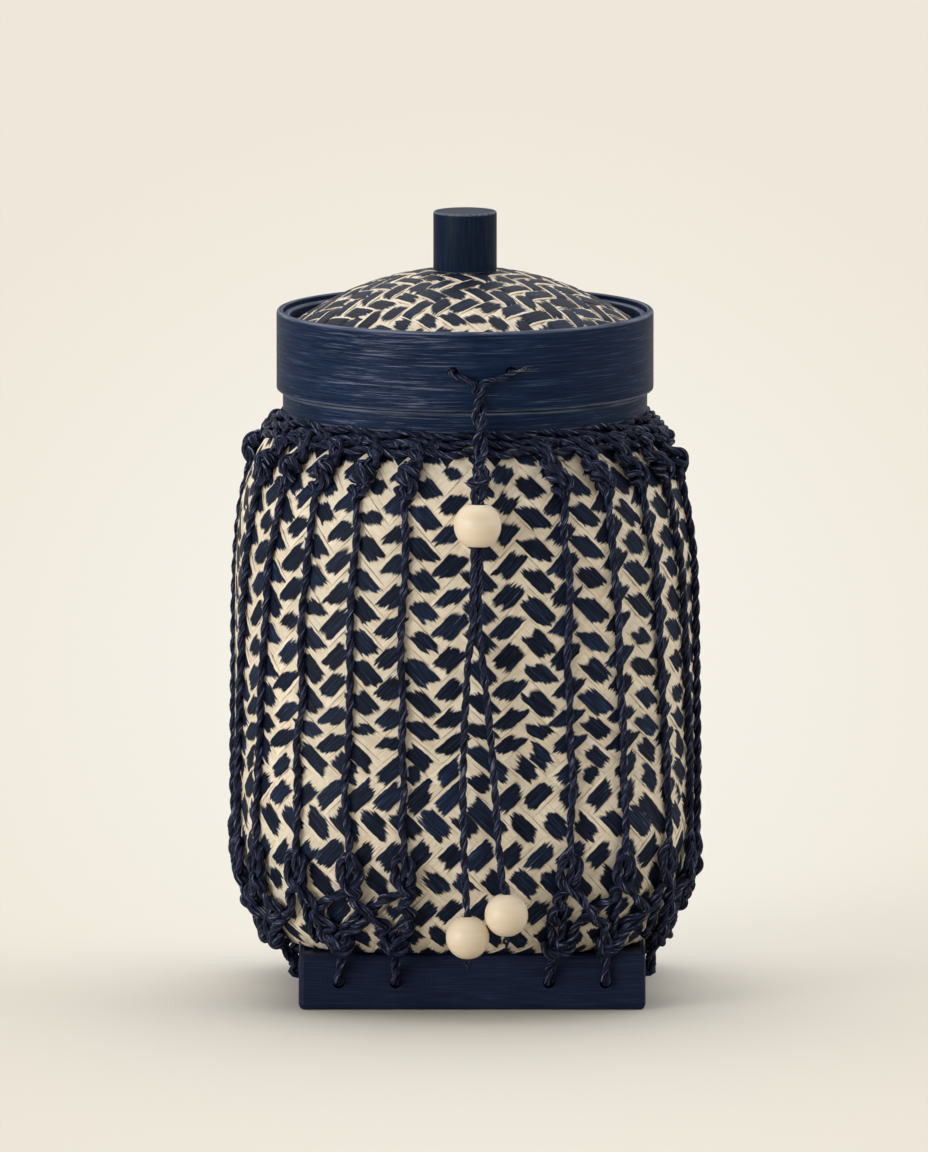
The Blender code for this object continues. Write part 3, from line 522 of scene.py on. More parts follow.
# %% [markdown]
# ## Split bamboo, dyed in patches
# Bamboo strips are split from the culm and shaved thin. Their fibres run straight along them, so colour and
# relief are streaks along the strip. The dye was brushed or dipped in patches before the weaving. It crept
# along the fibres, so a patch has ragged ends, but it stops clean at the sides. In the shader the distance
# along the strip gets a noise that is fine across the strip and coarse along it, and a patch is where that
# distance stays under its half length. Real fibres are 0.1 to 0.3 mm, which just shows at this size.

# %% Dyed and plain bamboo
values = {"Roughness": 0.55, "Specular IOR Level": 0.12}
patched_bamboo, shader, add = new_finish("split_bamboo_dyed_in_patches", values)
apart = add("SeparateXYZ", {"Vector": add("UVMap", uv_map="run")})
along, across = apart.outputs["X"], apart.outputs["Y"]
seed = add("Attribute", attribute_name="seed").outputs["Fac"]
shifted = add("Math", {0: seed, 1: 137.0}, operation="MULTIPLY")
place = add("CombineXYZ", {"X": along, "Y": across, "Z": shifted})

# Undyed bamboo: fine streaks, a slow change of tone, and a tone of its own for every strip
fine = streaks(add, place, (0.12, 12.0, 1.0), 4.0)
natural = add("ValToRGB", {"Fac": fine}, [(0.25, "#dabd8d"), (0.48, "#f6e9d3"), (0.75, "#faf2e2")])
slow = streaks(add, place, (0.22, 1.2, 1.0), 2.0)
slow = add("MapRange", {"Value": slow, "From Min": 0.3, "From Max": 0.7, "To Min": 0.88, "To Max": 1.08})
own = add("MapRange", {"Value": seed, "To Min": 0.94, "To Max": 1.05})
tone = add("Math", {0: slow, 1: own}, operation="MULTIPLY")
natural = add("HueSaturation", {"Value": tone, "Color": natural})

# Dye: deep indigo with paler fibres and a few rubbed ones, stronger on some strips than on others
threads = streaks(add, place, (0.14, 10.0, 1.0), 5.0)
indigo = [(0.3, "#070b15"), (0.5, "#111a2d"), (0.66, "#243452"), (0.8, "#8893ac")]
navy = add("ValToRGB", {"Fac": threads}, indigo)
mixed_seed = add("Math", {0: seed, 1: 7.31}, operation="MULTIPLY")
mixed_seed = add("Math", {0: mixed_seed}, operation="FRACT")
dip = add("MapRange", {"Value": mixed_seed, "From Min": 0.3, "To Min": 0.85, "To Max": 1.45})
navy = add("HueSaturation", {"Value": dip, "Color": navy})

# Where the dye ends: short brush strokes on a rounded blot, and clean sides
dye = add("Attribute", attribute_name="dye")
reach = add("SeparateXYZ", {"Vector": dye.outputs["Vector"]})
from_middle = add("Math", {0: along}, operation="ABSOLUTE")
off_middle = add("Math", {0: across}, operation="ABSOLUTE")
rounding = add("Math", {0: off_middle, 1: 3.0}, operation="POWER")
left = add("Math", {0: reach.outputs["X"], 1: from_middle}, operation="SUBTRACT")
for scale, detail in (((0.07, 9.5, 1.0), 6.0), ((0.12, 1.1, 1.0), 1.0)):
    ragged = streaks(add, place, scale, detail)
    ragged = add("MapRange", {"Value": ragged, "To Min": -2.6, "To Max": 2.6})
    left = add("Math", {0: left, 1: ragged}, operation="ADD")
left = add("Math", {0: rounding, 1: -1.0, 2: left}, operation="MULTIPLY_ADD")
patch = add("MapRange", {"Value": left, "From Min": -0.2, "From Max": 0.35})
wander = streaks(add, place, (0.45, 0.3, 1.0), 3.0)
wander = add("MapRange", {"Value": wander, "To Min": -0.16, "To Max": 0.16})
edge = add("Math", {0: across, 1: wander}, operation="ADD")
for limit, nearest, farthest in (("Y", -0.03, 0.04), ("Z", 0.03, -0.04)):
    past = add("Math", {0: edge, 1: reach.outputs[limit]}, operation="SUBTRACT")
    side = add("MapRange", {"Value": past, "From Min": nearest, "From Max": farthest})
    patch = add("Math", {0: patch, 1: side}, operation="MULTIPLY")
coloured = add("Mix", {"Factor": patch, "A": natural, "B": navy}, data_type="RGBA")

# A strip is a little darker close to its two long edges
cut = add("MapRange", {"Value": off_middle, "From Min": 0.96, "From Max": 1.0, "To Max": 0.45})
edged = add("Mix", {"Factor": cut, "A": coloured, "B": linear("#a68c64")}, data_type="RGBA")
relief = add("Bump", {"Height": fine, "Strength": 0.35, "Distance": 0.2 * MM})
set_inputs(shader, {"Base Color": edged, "Normal": relief})

# %% [markdown]
# ## The woven wall
# The colours of the wall stand in upright columns, because the floats of one column all lean the same way:
# two crossings of right-leaning floats, then two of left-leaning ones. Near the foot the same rule turns by a
# quarter, and the floats stand in level rows instead. There are 26 pairs of columns round the basket, so each
# is about 17 mm wide at the belly, as in the photograph.

# %% The lattice of the wall
COLUMNS = 104
WALL_SPACING = 6.0 * MM  # of the strips, along their length
ROW_CHANGE = 51.0 * MM
COLUMN_SHIFT = 2.5


def row_spacing(height):
    """How far apart two rows of crossings are at a height."""
    return np.interp(height / MM, [0.0, 44.0, 52.0, 66.0, 76.0, 165.0], [4.3, 4.3, 3.7, 3.65, 4.4, 4.4]) * MM


row_numbers = np.concatenate([[0.0], np.cumsum(profile_steps / row_spacing(profile_heights[:-1]))])
ROWS = int(row_numbers[-1])
print("the wall's lattice has", COLUMNS, "columns and", ROWS, "rows")
table_heights = np.linspace(0.0, MOUTH, 84)
table_shares = np.linspace(0.0, 1.0, 417)
fine_angles = np.linspace(0.0, math.tau, 1441)
angle_table = []
for table_height in table_heights:
    ring = wall_point(fine_angles, np.full_like(fine_angles, table_height))
    steps = lengths_along(ring)
    angle_table.append(np.interp(table_shares, steps / steps[-1], fine_angles))
angle_table = np.array(angle_table)


def lattice_angle(column, height):
    """The angle of a column of the weave at a height, with all columns equally wide along the wall."""
    share = ((column + COLUMN_SHIFT) / COLUMNS) % 1.0 * (len(table_shares) - 1)
    row = np.clip(height / MOUTH, 0.0, 1.0) * (len(table_heights) - 1)
    i = np.minimum(row.astype(int), len(table_heights) - 2)
    j = np.minimum(share.astype(int), len(table_shares) - 2)
    down, right = row - i, share - j
    low = angle_table[i, j] * (1 - right) + angle_table[i, j + 1] * right
    high = angle_table[i + 1, j] * (1 - right) + angle_table[i + 1, j + 1] * right
    return low * (1 - down) + high * down


def place_on_wall(kind, index, along, across, lift):
    """kind 0 strips lean to the right and kind 1 strips to the left. along counts rows of crossings."""
    column = 2 * index + along + across if kind == 0 else 2 * index - along + across
    row = along - across if kind == 0 else along + across
    height = np.interp(np.clip(row, 0.0, row_numbers[-1]), row_numbers, profile_heights)
    return on_wall(lattice_angle(column, height), height, lift - STRIP_SET_IN)

# %% [markdown]
# Which strip lies on top follows from counting in fours along the columns, or along the rows near the foot.
# The dye is given float by float: just under the neck every float gets the dye colour all over, which is
# painted shade under the neck ring, and lower down its ends and a margin at one side stay pale.

# %% Which strip lies on top, and its dye
def right_leaning_on_top(column, row):
    """Whether the strip that leans to the right lies on top at a crossing."""
    height = np.interp(row, row_numbers, profile_heights)
    turn = column / COLUMNS * math.tau
    change = ROW_CHANGE + (5.0 * math.sin(7 * turn) + 4.0 * math.sin(17 * turn + 1.0)) * MM
    return (row if height < change else column) % 4 in (0, 1)


chance = np.random.default_rng(11)


def wall_dye(first, last, kind, column):
    """How much of a float is dyed: half its length in millimetres, its limits across the strip, and the slant
    of its ends. Floats towards the right side of the basket have the dye reaching a little further across
    them."""
    middle = np.interp((first + last) / 2, row_numbers, profile_heights) / MM
    length = (last - first + 1) * 3.0
    # Just under the neck ring the floats are coloured with the dye all over: painted shade under the ring
    if middle > 145.5:
        share = 2.0
    elif middle > 137.0:
        share = chance.uniform(0.25, 0.75)
    elif chance.random() < 0.1:
        share = chance.uniform(0.4, 0.6)
    else:
        share = chance.uniform(0.62, 0.82)
    toward_right = 0.5 + 0.5 * math.sin(column / COLUMNS * math.tau)
    margin = chance.uniform(0.52, 0.94) + 0.14 * toward_right - (0.1 if middle < 60.0 else 0.0)
    other = chance.uniform(0.92, 1.15)
    low, high = (-margin, other) if chance.random() < 0.7 else (-other, margin)
    if share > 1.5:
        low, high = -1.2, 1.2
    slant = chance.uniform(0.25, 0.9) if middle > 60.0 else chance.uniform(-0.6, 0.2)
    return length * share, low, high, slant * (1.0 if kind == 0 else -1.0)

# %% [markdown]
# Where the two rules meet, a float can come out longer than a weaver would leave it, so it is parted. Then
# the floats of both kinds are listed and made as one piece.

# %% The woven wall
LONGEST_FLOAT = 3


def short_floats(tops):
    """The floats of a strip, with a long one parted, as a weaver tucks it under once more."""
    found = []
    for first, last in floats_of(tops):
        while last - first + 1 > LONGEST_FLOAT:
            found.append((first, first + 1))
            first += 2
        found.append((first, last))
    return found


wall_floats = []
for kind in (0, 1):
    for index in range(COLUMNS // 2):
        tops = []
        for row in range(ROWS + 1):
            column = (2 * index + row if kind == 0 else 2 * index - row) % COLUMNS
            tops.append(right_leaning_on_top(column, row) == (kind == 0))
        for first, last in short_floats(tops):
            column = 2 * index + first if kind == 0 else 2 * index - first
            dye = wall_dye(first, last, kind, column)
            wall_floats.append((kind, index, first, last, -0.1, row_numbers[-1], dye))
woven(
    "woven_wall", wall_floats, place_on_wall, WALL_SPACING, patched_bamboo, "basket", ["outer_basket"],
)

# %% [markdown]
# Behind the floats lies the rest of the weave. It shows only as the dark of the gaps from outside and as the
# wall's inner face when the lid is off. A closed shell just inside the strips stands for it. Its brown is
# darker than the strips' bamboo: painted shade for the gaps.

# %% The wall behind the strips
WALL_SIDES = 96


def grid_part(rings):
    """A mesh part through rings of points, with coordinates in millimetres round and along."""
    rings = np.array(rings)
    around = lengths_along(rings[len(rings) // 2]) / MM
    around = np.append(around, around[-1] + (around[1] - around[0]))
    along = lengths_along(rings[:, 0]) / MM
    faces, corners = grid_faces(*rings.shape[:2])
    return rings.reshape(-1, 3).tolist(), faces, [(around[j], along[i]) for i, j in corners]


shell_angles = np.arange(WALL_SIDES) / WALL_SIDES * math.tau
shell_heights = np.array([
    0.0, 0.6, 2.0, 4.5, 8.0, 13.0, 20.0, 30.0, 43.7, 84.0, 100.0, 115.0, 126.0, 134.0, 140.0, 144.0, 146.5,
    148.0, 149.0, 165.0,
]) * MM
outer_rings = [on_wall(shell_angles, height, -0.55 * MM) for height in shell_heights]
inner_rings = [on_wall(shell_angles, max(height, 1.2 * MM), -1.2 * MM) for height in shell_heights[::-1]]

gap_painted_shade_brown, shader, add = new_finish("bamboo_weave_behind_the_strips_painted_shade", {"Roughness": 0.6})
mottle = add("TexNoise", {"Vector": add("TexCoord").outputs["Object"], "Scale": 400.0, "Detail": 3.0})
# A brown darker than the strips, as painted shade in the gaps
mottle = add("ValToRGB", {"Fac": mottle}, [(0.35, "#77603f"), (0.65, "#a88f66")])
set_inputs(shader, {"Base Color": mottle})
shell = capped(grid_part([*outer_rings, *inner_rings]), WALL_SIDES)
piece("wall_behind_the_strips", [shell], gap_painted_shade_brown, "basket", ())

# %% [markdown]
# ## Stained wood
# Foot, rims and knob are a pale close-grained wood, stained indigo with a brush. The stain soaks in
# unevenly, so the blue is streaked along the grain, and handling rubs pale scratches into it and greys the
# sharp edges. Grain runs round a bent hoop and along a sawn slat, so the noise is stretched that way: streaks
# of about 13 mm by 0.35 mm, with finer ones in them. A hoop's grain takes its direction round the axis as
# two numbers, so that it has no seam.

# %% Stained wood
# The side of the hoops' pale band: thumb wear and a painted highlight
THUMB_WEAR_AND_SHEEN_SIDE = (math.sin(math.radians(-25.0)), -math.cos(math.radians(-25.0)), 0.0)
ALONG_GRAIN, ACROSS_GRAIN = 75.0, 2900.0  # streaks to the metre


def stained_wood(name, grain, scratches, stops):
    """grain is round for a hoop, or x, y or z for a straight piece. scratches is how far they show."""
    made, shader, add = new_finish(name, {"Roughness": 0.4, "Specular IOR Level": 0.05})
    where = add("TexCoord").outputs["Object"]
    depth = 0.0
    if grain == "round":
        apart = add("SeparateXYZ", {"Vector": where})
        flat = add("CombineXYZ", {"X": apart.outputs["X"], "Y": apart.outputs["Y"]})
        radius = add("VectorMath", {0: flat}, operation="LENGTH")
        facing = add("VectorMath", {0: flat}, operation="NORMALIZE")
        turned = add("VectorMath", {0: facing, "Scale": RIM_OUTER * ALONG_GRAIN}, operation="SCALE")
        sides = add("SeparateXYZ", {"Vector": turned})
        up = add("Math", {0: apart.outputs["Z"], 1: ACROSS_GRAIN}, operation="MULTIPLY")
        place = add("CombineXYZ", {"X": sides.outputs["X"], "Y": sides.outputs["Y"], "Z": up})
        depth = add("Math", {0: radius, 1: ACROSS_GRAIN}, operation="MULTIPLY")
    else:
        scale = [ALONG_GRAIN if axis == grain else ACROSS_GRAIN for axis in "xyz"]
        place = add("Mapping", {"Vector": where, "Scale": scale})
    fine, scuffed = [
        add("TexNoise", {"Vector": place, "W": depth, **looks}, noise_dimensions="4D")
        for looks in (
            {"Scale": 1.0, "Detail": 4.0, "Roughness": 0.6}, {"Scale": 0.8, "Detail": 5.0, "Roughness": 0.7},
        )
    ]
    broad = add("TexNoise", {"Vector": where, "Scale": 42.0, "Detail": 2.0})
    stain = add("ValToRGB", {"Fac": fine}, stops)
    cloud = add("MapRange", {"Value": broad, "To Min": 0.6, "To Max": 1.25})
    stain = add("HueSaturation", {"Value": cloud, "Color": stain})

    # Pale where it is rubbed: scratches in handled patches, and the edges that have a wear value. A hoop adds
    # a band at the front left, partly wear and partly painted highlight.
    rubbed = add("MapRange", {"Value": scuffed, "From Min": 0.6, "From Max": 0.72, "To Max": scratches})
    handled = add("MapRange", {"Value": broad, "From Min": 0.44, "From Max": 0.6})
    wear = add("Attribute", attribute_name="wear").outputs["Fac"]
    patchy = add(
        "MapRange", {"Value": scuffed, "From Min": 0.4, "From Max": 0.62, "To Min": 0.1, "To Max": 0.9}
    )
    wear_and_sheen_marks = [(rubbed, handled), (wear, patchy)]
    if grain == "round":
        # Pale lines at the front left of the hoops: partly rubbing by the thumb that lifts the lid, partly a
        # painted highlight where the main light falls
        thumb_wear_and_sheen = add("VectorMath", {0: facing, 1: THUMB_WEAR_AND_SHEEN_SIDE}, operation="DOT_PRODUCT")
        thumb_wear_and_sheen = add("MapRange", {"Value": thumb_wear_and_sheen, "From Min": 0.88, "From Max": 0.98})
        lines = add("MapRange", {"Value": scuffed, "From Min": 0.53, "From Max": 0.62, "To Max": 0.6})
        wear_and_sheen_marks.append((thumb_wear_and_sheen, lines))
    pale = 0.0
    for mark_strength, mark_place in wear_and_sheen_marks:
        both = add("Math", {0: mark_strength, 1: mark_place}, operation="MULTIPLY")
        pale = add("Math", {0: pale, 1: both}, operation="MAXIMUM")
    mixed = add("Mix", {"Factor": pale, "A": stain, "B": linear("#868ea4")}, data_type="RGBA")
    relief = add("Bump", {"Height": fine, "Strength": 0.3, "Distance": 0.15 * MM})
    set_inputs(shader, {"Base Color": mixed, "Normal": relief})
    return made


hoop_stain = [(0.35, "#12203a"), (0.5, "#1b2b49"), (0.6, "#263756"), (0.72, "#4b5976")]
slat_stain = [(0.3, "#1a2036"), (0.5, "#212943"), (0.7, "#2d3854")]
dowel_stain = [(0.3, "#101c2d"), (0.5, "#18263b"), (0.7, "#23334b")]
hoop_wood = stained_wood("indigo_stained_bent_hoop", "round", 0.8, hoop_stain)
slat_wood_x = stained_wood("indigo_stained_slat_grain_across", "x", 0.25, slat_stain)
slat_wood_y = stained_wood("indigo_stained_slat_grain_back", "y", 0.25, slat_stain)
dowel_wood = stained_wood("indigo_stained_dowel", "z", 0.2, dowel_stain)

# %% [markdown]
# ## Hoops, ring and knob
# The CAD hoops have forty flat sides, which is plenty for a solid but shows at the rim's edge in a picture.
# These pieces turn the same sections with 240 sides and rounded edges. Each edge gets a wear value that the
# stained wood reads, because handling polishes an edge first.

# %% Turned pieces
HOOP_SIDES = 240


def turned_part(profile, sides):
    """A section of (radius, height) points, turned round the axis."""
    angles = np.arange(sides) / sides * math.tau
    return grid_part([
        np.stack([radius * np.cos(angles), radius * np.sin(angles), np.full(sides, height)], axis=-1)
        for radius, height in [*profile, profile[0]]
    ])


def rounded(corner_points, radii, steps=3):
    """A closed section with its corners rounded, and a wear value for each of its points."""
    section, wear = [], []
    count = len(corner_points)
    for i, (corner, radius) in enumerate(zip(np.array(corner_points), radii)):
        if radius == 0.0:
            section.append(tuple(corner))
            wear.append(0.0)
            continue
        before = np.array(corner_points[i - 1]) - corner
        after = np.array(corner_points[(i + 1) % count]) - corner
        start = corner + before / np.linalg.norm(before) * radius
        end = corner + after / np.linalg.norm(after) * radius
        for k in range(steps + 1):
            t = k / steps
            section.append(tuple((1 - t) ** 2 * start + 2 * t * (1 - t) * corner + t**2 * end))
            wear.append(1.0 if 0 < k < steps else 0.0)
    return section, wear


def turned_piece(name, section, wear, sides, finish, body, stands_for):
    """A turned wooden piece that knows how worn each of its rings is."""
    made = piece(name, [turned_part(section, sides)], finish, body, stands_for)
    keep_values(made, "wear", np.repeat([*wear, wear[0]], sides))
    return made


def hoop_piece(name, inner, outer, bottom, top, radii, body, stands_for, extra=()):
    """A hoop with rounded corners: radii are for the inner top, outer top, outer bottom and inner bottom.
    extra gives heights, from the top down, of more rings on its walls."""
    outside = [(outer, height) for height in (top, *extra, bottom)]
    corners = [(inner, top), *outside, (inner, bottom), *((inner, height) for height in reversed(extra))]
    plain = [0.0] * len(extra)
    section, wear = rounded(corners, [*radii[:2], *plain, *radii[2:], *plain])
    return turned_piece(name, section, wear, HOOP_SIDES, hoop_wood, body, stands_for)


def sizes_of(node):
    """Outer radius, bottom and top of a turned CAD node."""
    low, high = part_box(node)
    return high.x, low.z, high.z

# %% [markdown]
# The rim, the hoop inside it and the ring at the neck are three bent strips. Their sizes are read from the
# CAD's own boxes. Two rings of points, above and below the cord holes, keep the faces there small, so that
# the holes are cut cleanly.

# %% The three hoops
INNER_HOOP_OUTER, _, INNER_HOOP_TOP = sizes_of("lid_inner_hoop")
_, LID_BOTTOM, _ = sizes_of("lid_rim")
RIM_INNER = INNER_HOOP_OUTER + CLEARANCE
INNER_HOOP_INNER = INNER_HOOP_OUTER - 1.7 * MM
NECK_RING_OUTER, NECK_RING_BOTTOM, NECK_RING_TOP = sizes_of("neck_ring")
hole_rings = (RIM_HOLE_HEIGHT + 2.2 * MM, RIM_HOLE_HEIGHT - 2.2 * MM)
rim = hoop_piece(
    "rim", RIM_INNER, RIM_OUTER, LID_BOTTOM, RIM_TOP, [0.5 * MM, 1.0 * MM, 0.8 * MM, 0.0], "lid", ["lid_rim"],
    hole_rings,
)
inner_hoop = hoop_piece(
    "inner_hoop", INNER_HOOP_INNER, INNER_HOOP_OUTER, LID_BOTTOM, INNER_HOOP_TOP,
    [0.8 * MM, 0.3 * MM, 0.0, 0.0], "lid", ["lid_inner_hoop"], hole_rings,
)
hoop_piece(
    "neck_hoop", NECK_RADIUS + CLEARANCE, NECK_RING_OUTER, NECK_RING_BOTTOM, NECK_RING_TOP,
    [0.5 * MM, 1.1 * MM, 0.8 * MM, 0.0], "basket", ["neck_ring"],
)

# %% [markdown]
# The two holes in the rim are real holes: a thin cylinder is subtracted from both hoops with a Boolean
# modifier, which is then applied so that the piece is an ordinary mesh.

# %% The rim's holes
HOLE_RADIUS = 1.5 * MM
HOLE_SIDES = 20
DRILL_LENGTH = 10.0 * MM
DRILL_START = 3.0 * MM  # in front of the rim


def drill(target, sides, height):
    """Cuts round holes into the front of a hoop."""
    angles = np.arange(HOLE_SIDES) / HOLE_SIDES * math.tau
    round_hole = np.stack([np.cos(angles), np.zeros(HOLE_SIDES), -np.sin(angles)], axis=-1) * HOLE_RADIUS
    parts = []
    for side in sides:
        start = np.array((side, -RIM_OUTER - DRILL_START, height))
        rings = [round_hole + start + np.array((0.0, depth, 0.0)) for depth in (0.0, DRILL_LENGTH)]
        parts.append(capped(grid_part(rings), HOLE_SIDES))
    points, faces, _ = joined(parts)
    mesh = bpy.data.meshes.new("drill")
    mesh.from_pydata(points, [], faces)
    cutter = placed("drill", mesh)
    step = target.modifiers.new("holes", "BOOLEAN")
    step.operation = "DIFFERENCE"
    step.object = cutter
    bpy.context.view_layer.update()
    shape = bpy.data.meshes.new_from_object(target.evaluated_get(bpy.context.evaluated_depsgraph_get()))
    target.modifiers.clear()
    target.data = shape
    bpy.data.objects.remove(cutter)
    target.data.set_sharp_from_angle(angle=SHARP_FROM)


def round_shading(target, radii):
    """Shades the walls at these radii as round, also where a hole has changed their faces."""
    mesh = target.data
    normals = [corner.vector.copy() for corner in mesh.corner_normals]
    for face in mesh.polygons:
        places = [mesh.vertices[i].co for i in face.vertices]
        for radius, side in radii:
            if max(abs(place.xy.length - radius) for place in places) > 0.02 * MM:
                continue
            for loop in face.loop_indices:
                place = mesh.vertices[mesh.loops[loop].vertex_index].co
                normals[loop] = Vector((place.x, place.y, 0.0)).normalized() * side
    mesh.normals_split_custom_set(normals)


for holed, inner, outer in ((rim, RIM_INNER, RIM_OUTER), (inner_hoop, INNER_HOOP_INNER, INNER_HOOP_OUTER)):
    drill(holed, RIM_HOLE_SIDES.values(), RIM_HOLE_HEIGHT)
    round_shading(holed, ((outer, 1.0), (inner, -1.0)))
    print(holed.name, "has", len(holed.data.polygons), "faces with its holes")

# %% [markdown]
# The knob is a plain length of dowel, sawn square and eased at its top edge. The grain of a dowel runs along
# it, and its sawn top shows end grain, which takes more stain.

# %% The knob
KNOB_SIDES = 72
AXIS = 0.05 * MM  # a section stops just short of the axis
knob_radius, knob_bottom, knob_top = sizes_of("knob")
knob_section, knob_wear = rounded(
    [(AXIS, knob_top), (knob_radius, knob_top), (knob_radius, knob_bottom), (AXIS, knob_bottom)],
    [0.0, 0.7 * MM, 0.3 * MM, 0.0],
)
turned_piece("dowel_knob", knob_section, knob_wear, KNOB_SIDES, dowel_wood, "lid", ["knob"])

# %% [markdown]
# ## The foot
# Four sawn slats make the foot. Their CAD solids have the real shape, with rounded outer edges and drilled
# holes, so they stay and only take the stained finish, with the grain along each slat.

# %% The foot's slats
def dress(node, finish):
    """Puts a finish on a CAD solid that stays in view."""
    mesh = nodes[node].data
    mesh.materials.clear()
    mesh.materials.append(finish)
    print(node, "is finished as", finish.name)


for finish, sides in ((slat_wood_x, ("front", "back")), (slat_wood_y, ("left", "right"))):
    for side in sides:
        dress(f"base_{side}_slat", finish)

# %% [markdown]
# ## The woven dome
# The lid's dome is a flat twill mat, pressed over a form. Its strips run straight when seen from above, in
# two directions at right angles, and more of each strip is dyed than on the wall. The same float ribbons do
# it: only the function that places them is new. It lays a square lattice over a part of a ball.

# %% The woven dome
DOME_SPACING = 4.8 * MM
DOME_TURN = math.radians(42.0)
DOME_EDGE = 49.6 * MM
DOME_EDGE_TOP = RIM_TOP - 4.1 * MM
DOME_RISE = 15.6 * MM
DOME_FULLNESS = 2.15  # 2 would be a shallow bowl, and more is flatter on top and steeper at the edge
dome_span = DOME_EDGE - 0.8 * MM


def dome_height(radius):
    """The height of the dome's surface at a distance from the axis."""
    return DOME_EDGE_TOP + DOME_RISE * (1.0 - np.minimum(radius / dome_span, 1.0) ** DOME_FULLNESS)


def on_dome(x, y, lift):
    """Points lifted off the dome along its normal, kept inside its edge."""
    radius = np.hypot(x, y)
    shrink = np.minimum(1.0, (DOME_EDGE - 0.5 * MM) / np.maximum(radius, 1e-9))
    x, y = x * shrink, y * shrink
    radius = radius * shrink
    slope = DOME_RISE * DOME_FULLNESS * np.maximum(radius, 1e-9) ** (DOME_FULLNESS - 2.0)
    slope /= dome_span**DOME_FULLNESS
    normal = np.stack([x * slope, y * slope, np.ones_like(x)], axis=-1)
    normal /= np.linalg.norm(normal, axis=-1)[..., None]
    return np.stack([x, y, dome_height(radius)], axis=-1) + normal * lift[..., None]


def place_on_dome(kind, index, along, across, lift):
    """kind 0 strips run one way and kind 1 strips the other, at right angles as seen from above."""
    first, second = (index + across, along) if kind == 0 else (along, index + across)
    x, y = first * DOME_SPACING, second * DOME_SPACING
    turned_x = x * math.cos(DOME_TURN) - y * math.sin(DOME_TURN)
    turned_y = x * math.sin(DOME_TURN) + y * math.cos(DOME_TURN)
    return on_dome(turned_x, turned_y, lift - STRIP_SET_IN)

# %% [markdown]
# The mat goes over two and under two in both directions. The floats near the front edge are dyed a little
# less than the others, as in the photograph. Behind them lies a thin shell, as behind the wall's strips.

# %% The dome's floats
dome_floats = []
dome_reach = math.ceil(DOME_EDGE / DOME_SPACING) + 1
edge_share = (DOME_EDGE - 0.5 * MM) / DOME_SPACING
for kind in (0, 1):
    for index in range(-dome_reach, dome_reach + 1):
        if abs(index) > edge_share:
            continue
        limit = math.sqrt(edge_share**2 - index**2) + 0.3
        tops = []
        for other in range(-dome_reach, dome_reach + 1):
            tops.append(((index + other) % 4 in (0, 1)) == (kind == 0))
        for first, last in floats_of(tops):
            first, last = first - dome_reach, last - dome_reach
            if last < -limit or first > limit:
                continue
            middle = (first + last) / 2
            first_way, second_way = (index, middle) if kind == 0 else (middle, index)
            forward = -(first_way * math.sin(DOME_TURN) + second_way * math.cos(DOME_TURN)) * DOME_SPACING
            half_length = chance.uniform(2.2, 4.6) if forward > 36.0 * MM else chance.uniform(3.5, 5.9)
            margin, other = chance.uniform(0.6, 0.98), chance.uniform(0.9, 1.2)
            low, high = (-margin, other) if chance.random() < 0.5 else (-other, margin)
            dye = (half_length, low, high, chance.uniform(-0.5, 0.5))
            dome_floats.append((kind, index, first, last, -limit, limit, dye))
woven(
    "woven_dome", dome_floats, place_on_dome, DOME_SPACING, patched_bamboo, "lid", ["lid_dome"],
    steps=6,
)
GAP_OUTER, GAP_INNER = 0.6 * MM, 1.2 * MM  # the faces behind the strips, below the dome's surface
dome_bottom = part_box("lid_dome")[0].z
outer_shares, inner_shares = np.linspace(0.1, 1.0, 14), np.linspace(0.97, 0.1, 10)
dome_section = [
    (0.5 * MM, dome_height(0.0) - GAP_OUTER),
    *((dome_span * share, float(dome_height(dome_span * share)) - GAP_OUTER) for share in outer_shares),
    (DOME_EDGE, DOME_EDGE_TOP - 1.4 * MM), (DOME_EDGE, dome_bottom), (DOME_EDGE - 1.1 * MM, dome_bottom),
    *((dome_span * share, float(dome_height(dome_span * share)) - GAP_INNER) for share in inner_shares),
    (0.5 * MM, dome_height(0.0) - GAP_INNER),
]
behind = turned_part(dome_section, WALL_SIDES)
piece("dome_behind_the_strips", [behind], gap_painted_shade_brown, "lid", ())

# %% [markdown]
# ## Plain bamboo
# The lining, the binding hoop at the mouth and the dome's own lining are undyed split bamboo. They show only
# when the lid is lifted. The lining is plaited from strips of 5 mm, drawn in its finish as two crossing sets
# with the grain of whichever lies on top. The hoop has its grain running round.

# %% Plain bamboo pieces
LINING_CELLS = 41  # crossings once round the mouth
LINING_CROSSING = 7.1 * MM  # from one to the next: strips of 5 mm, laid at 45 degrees


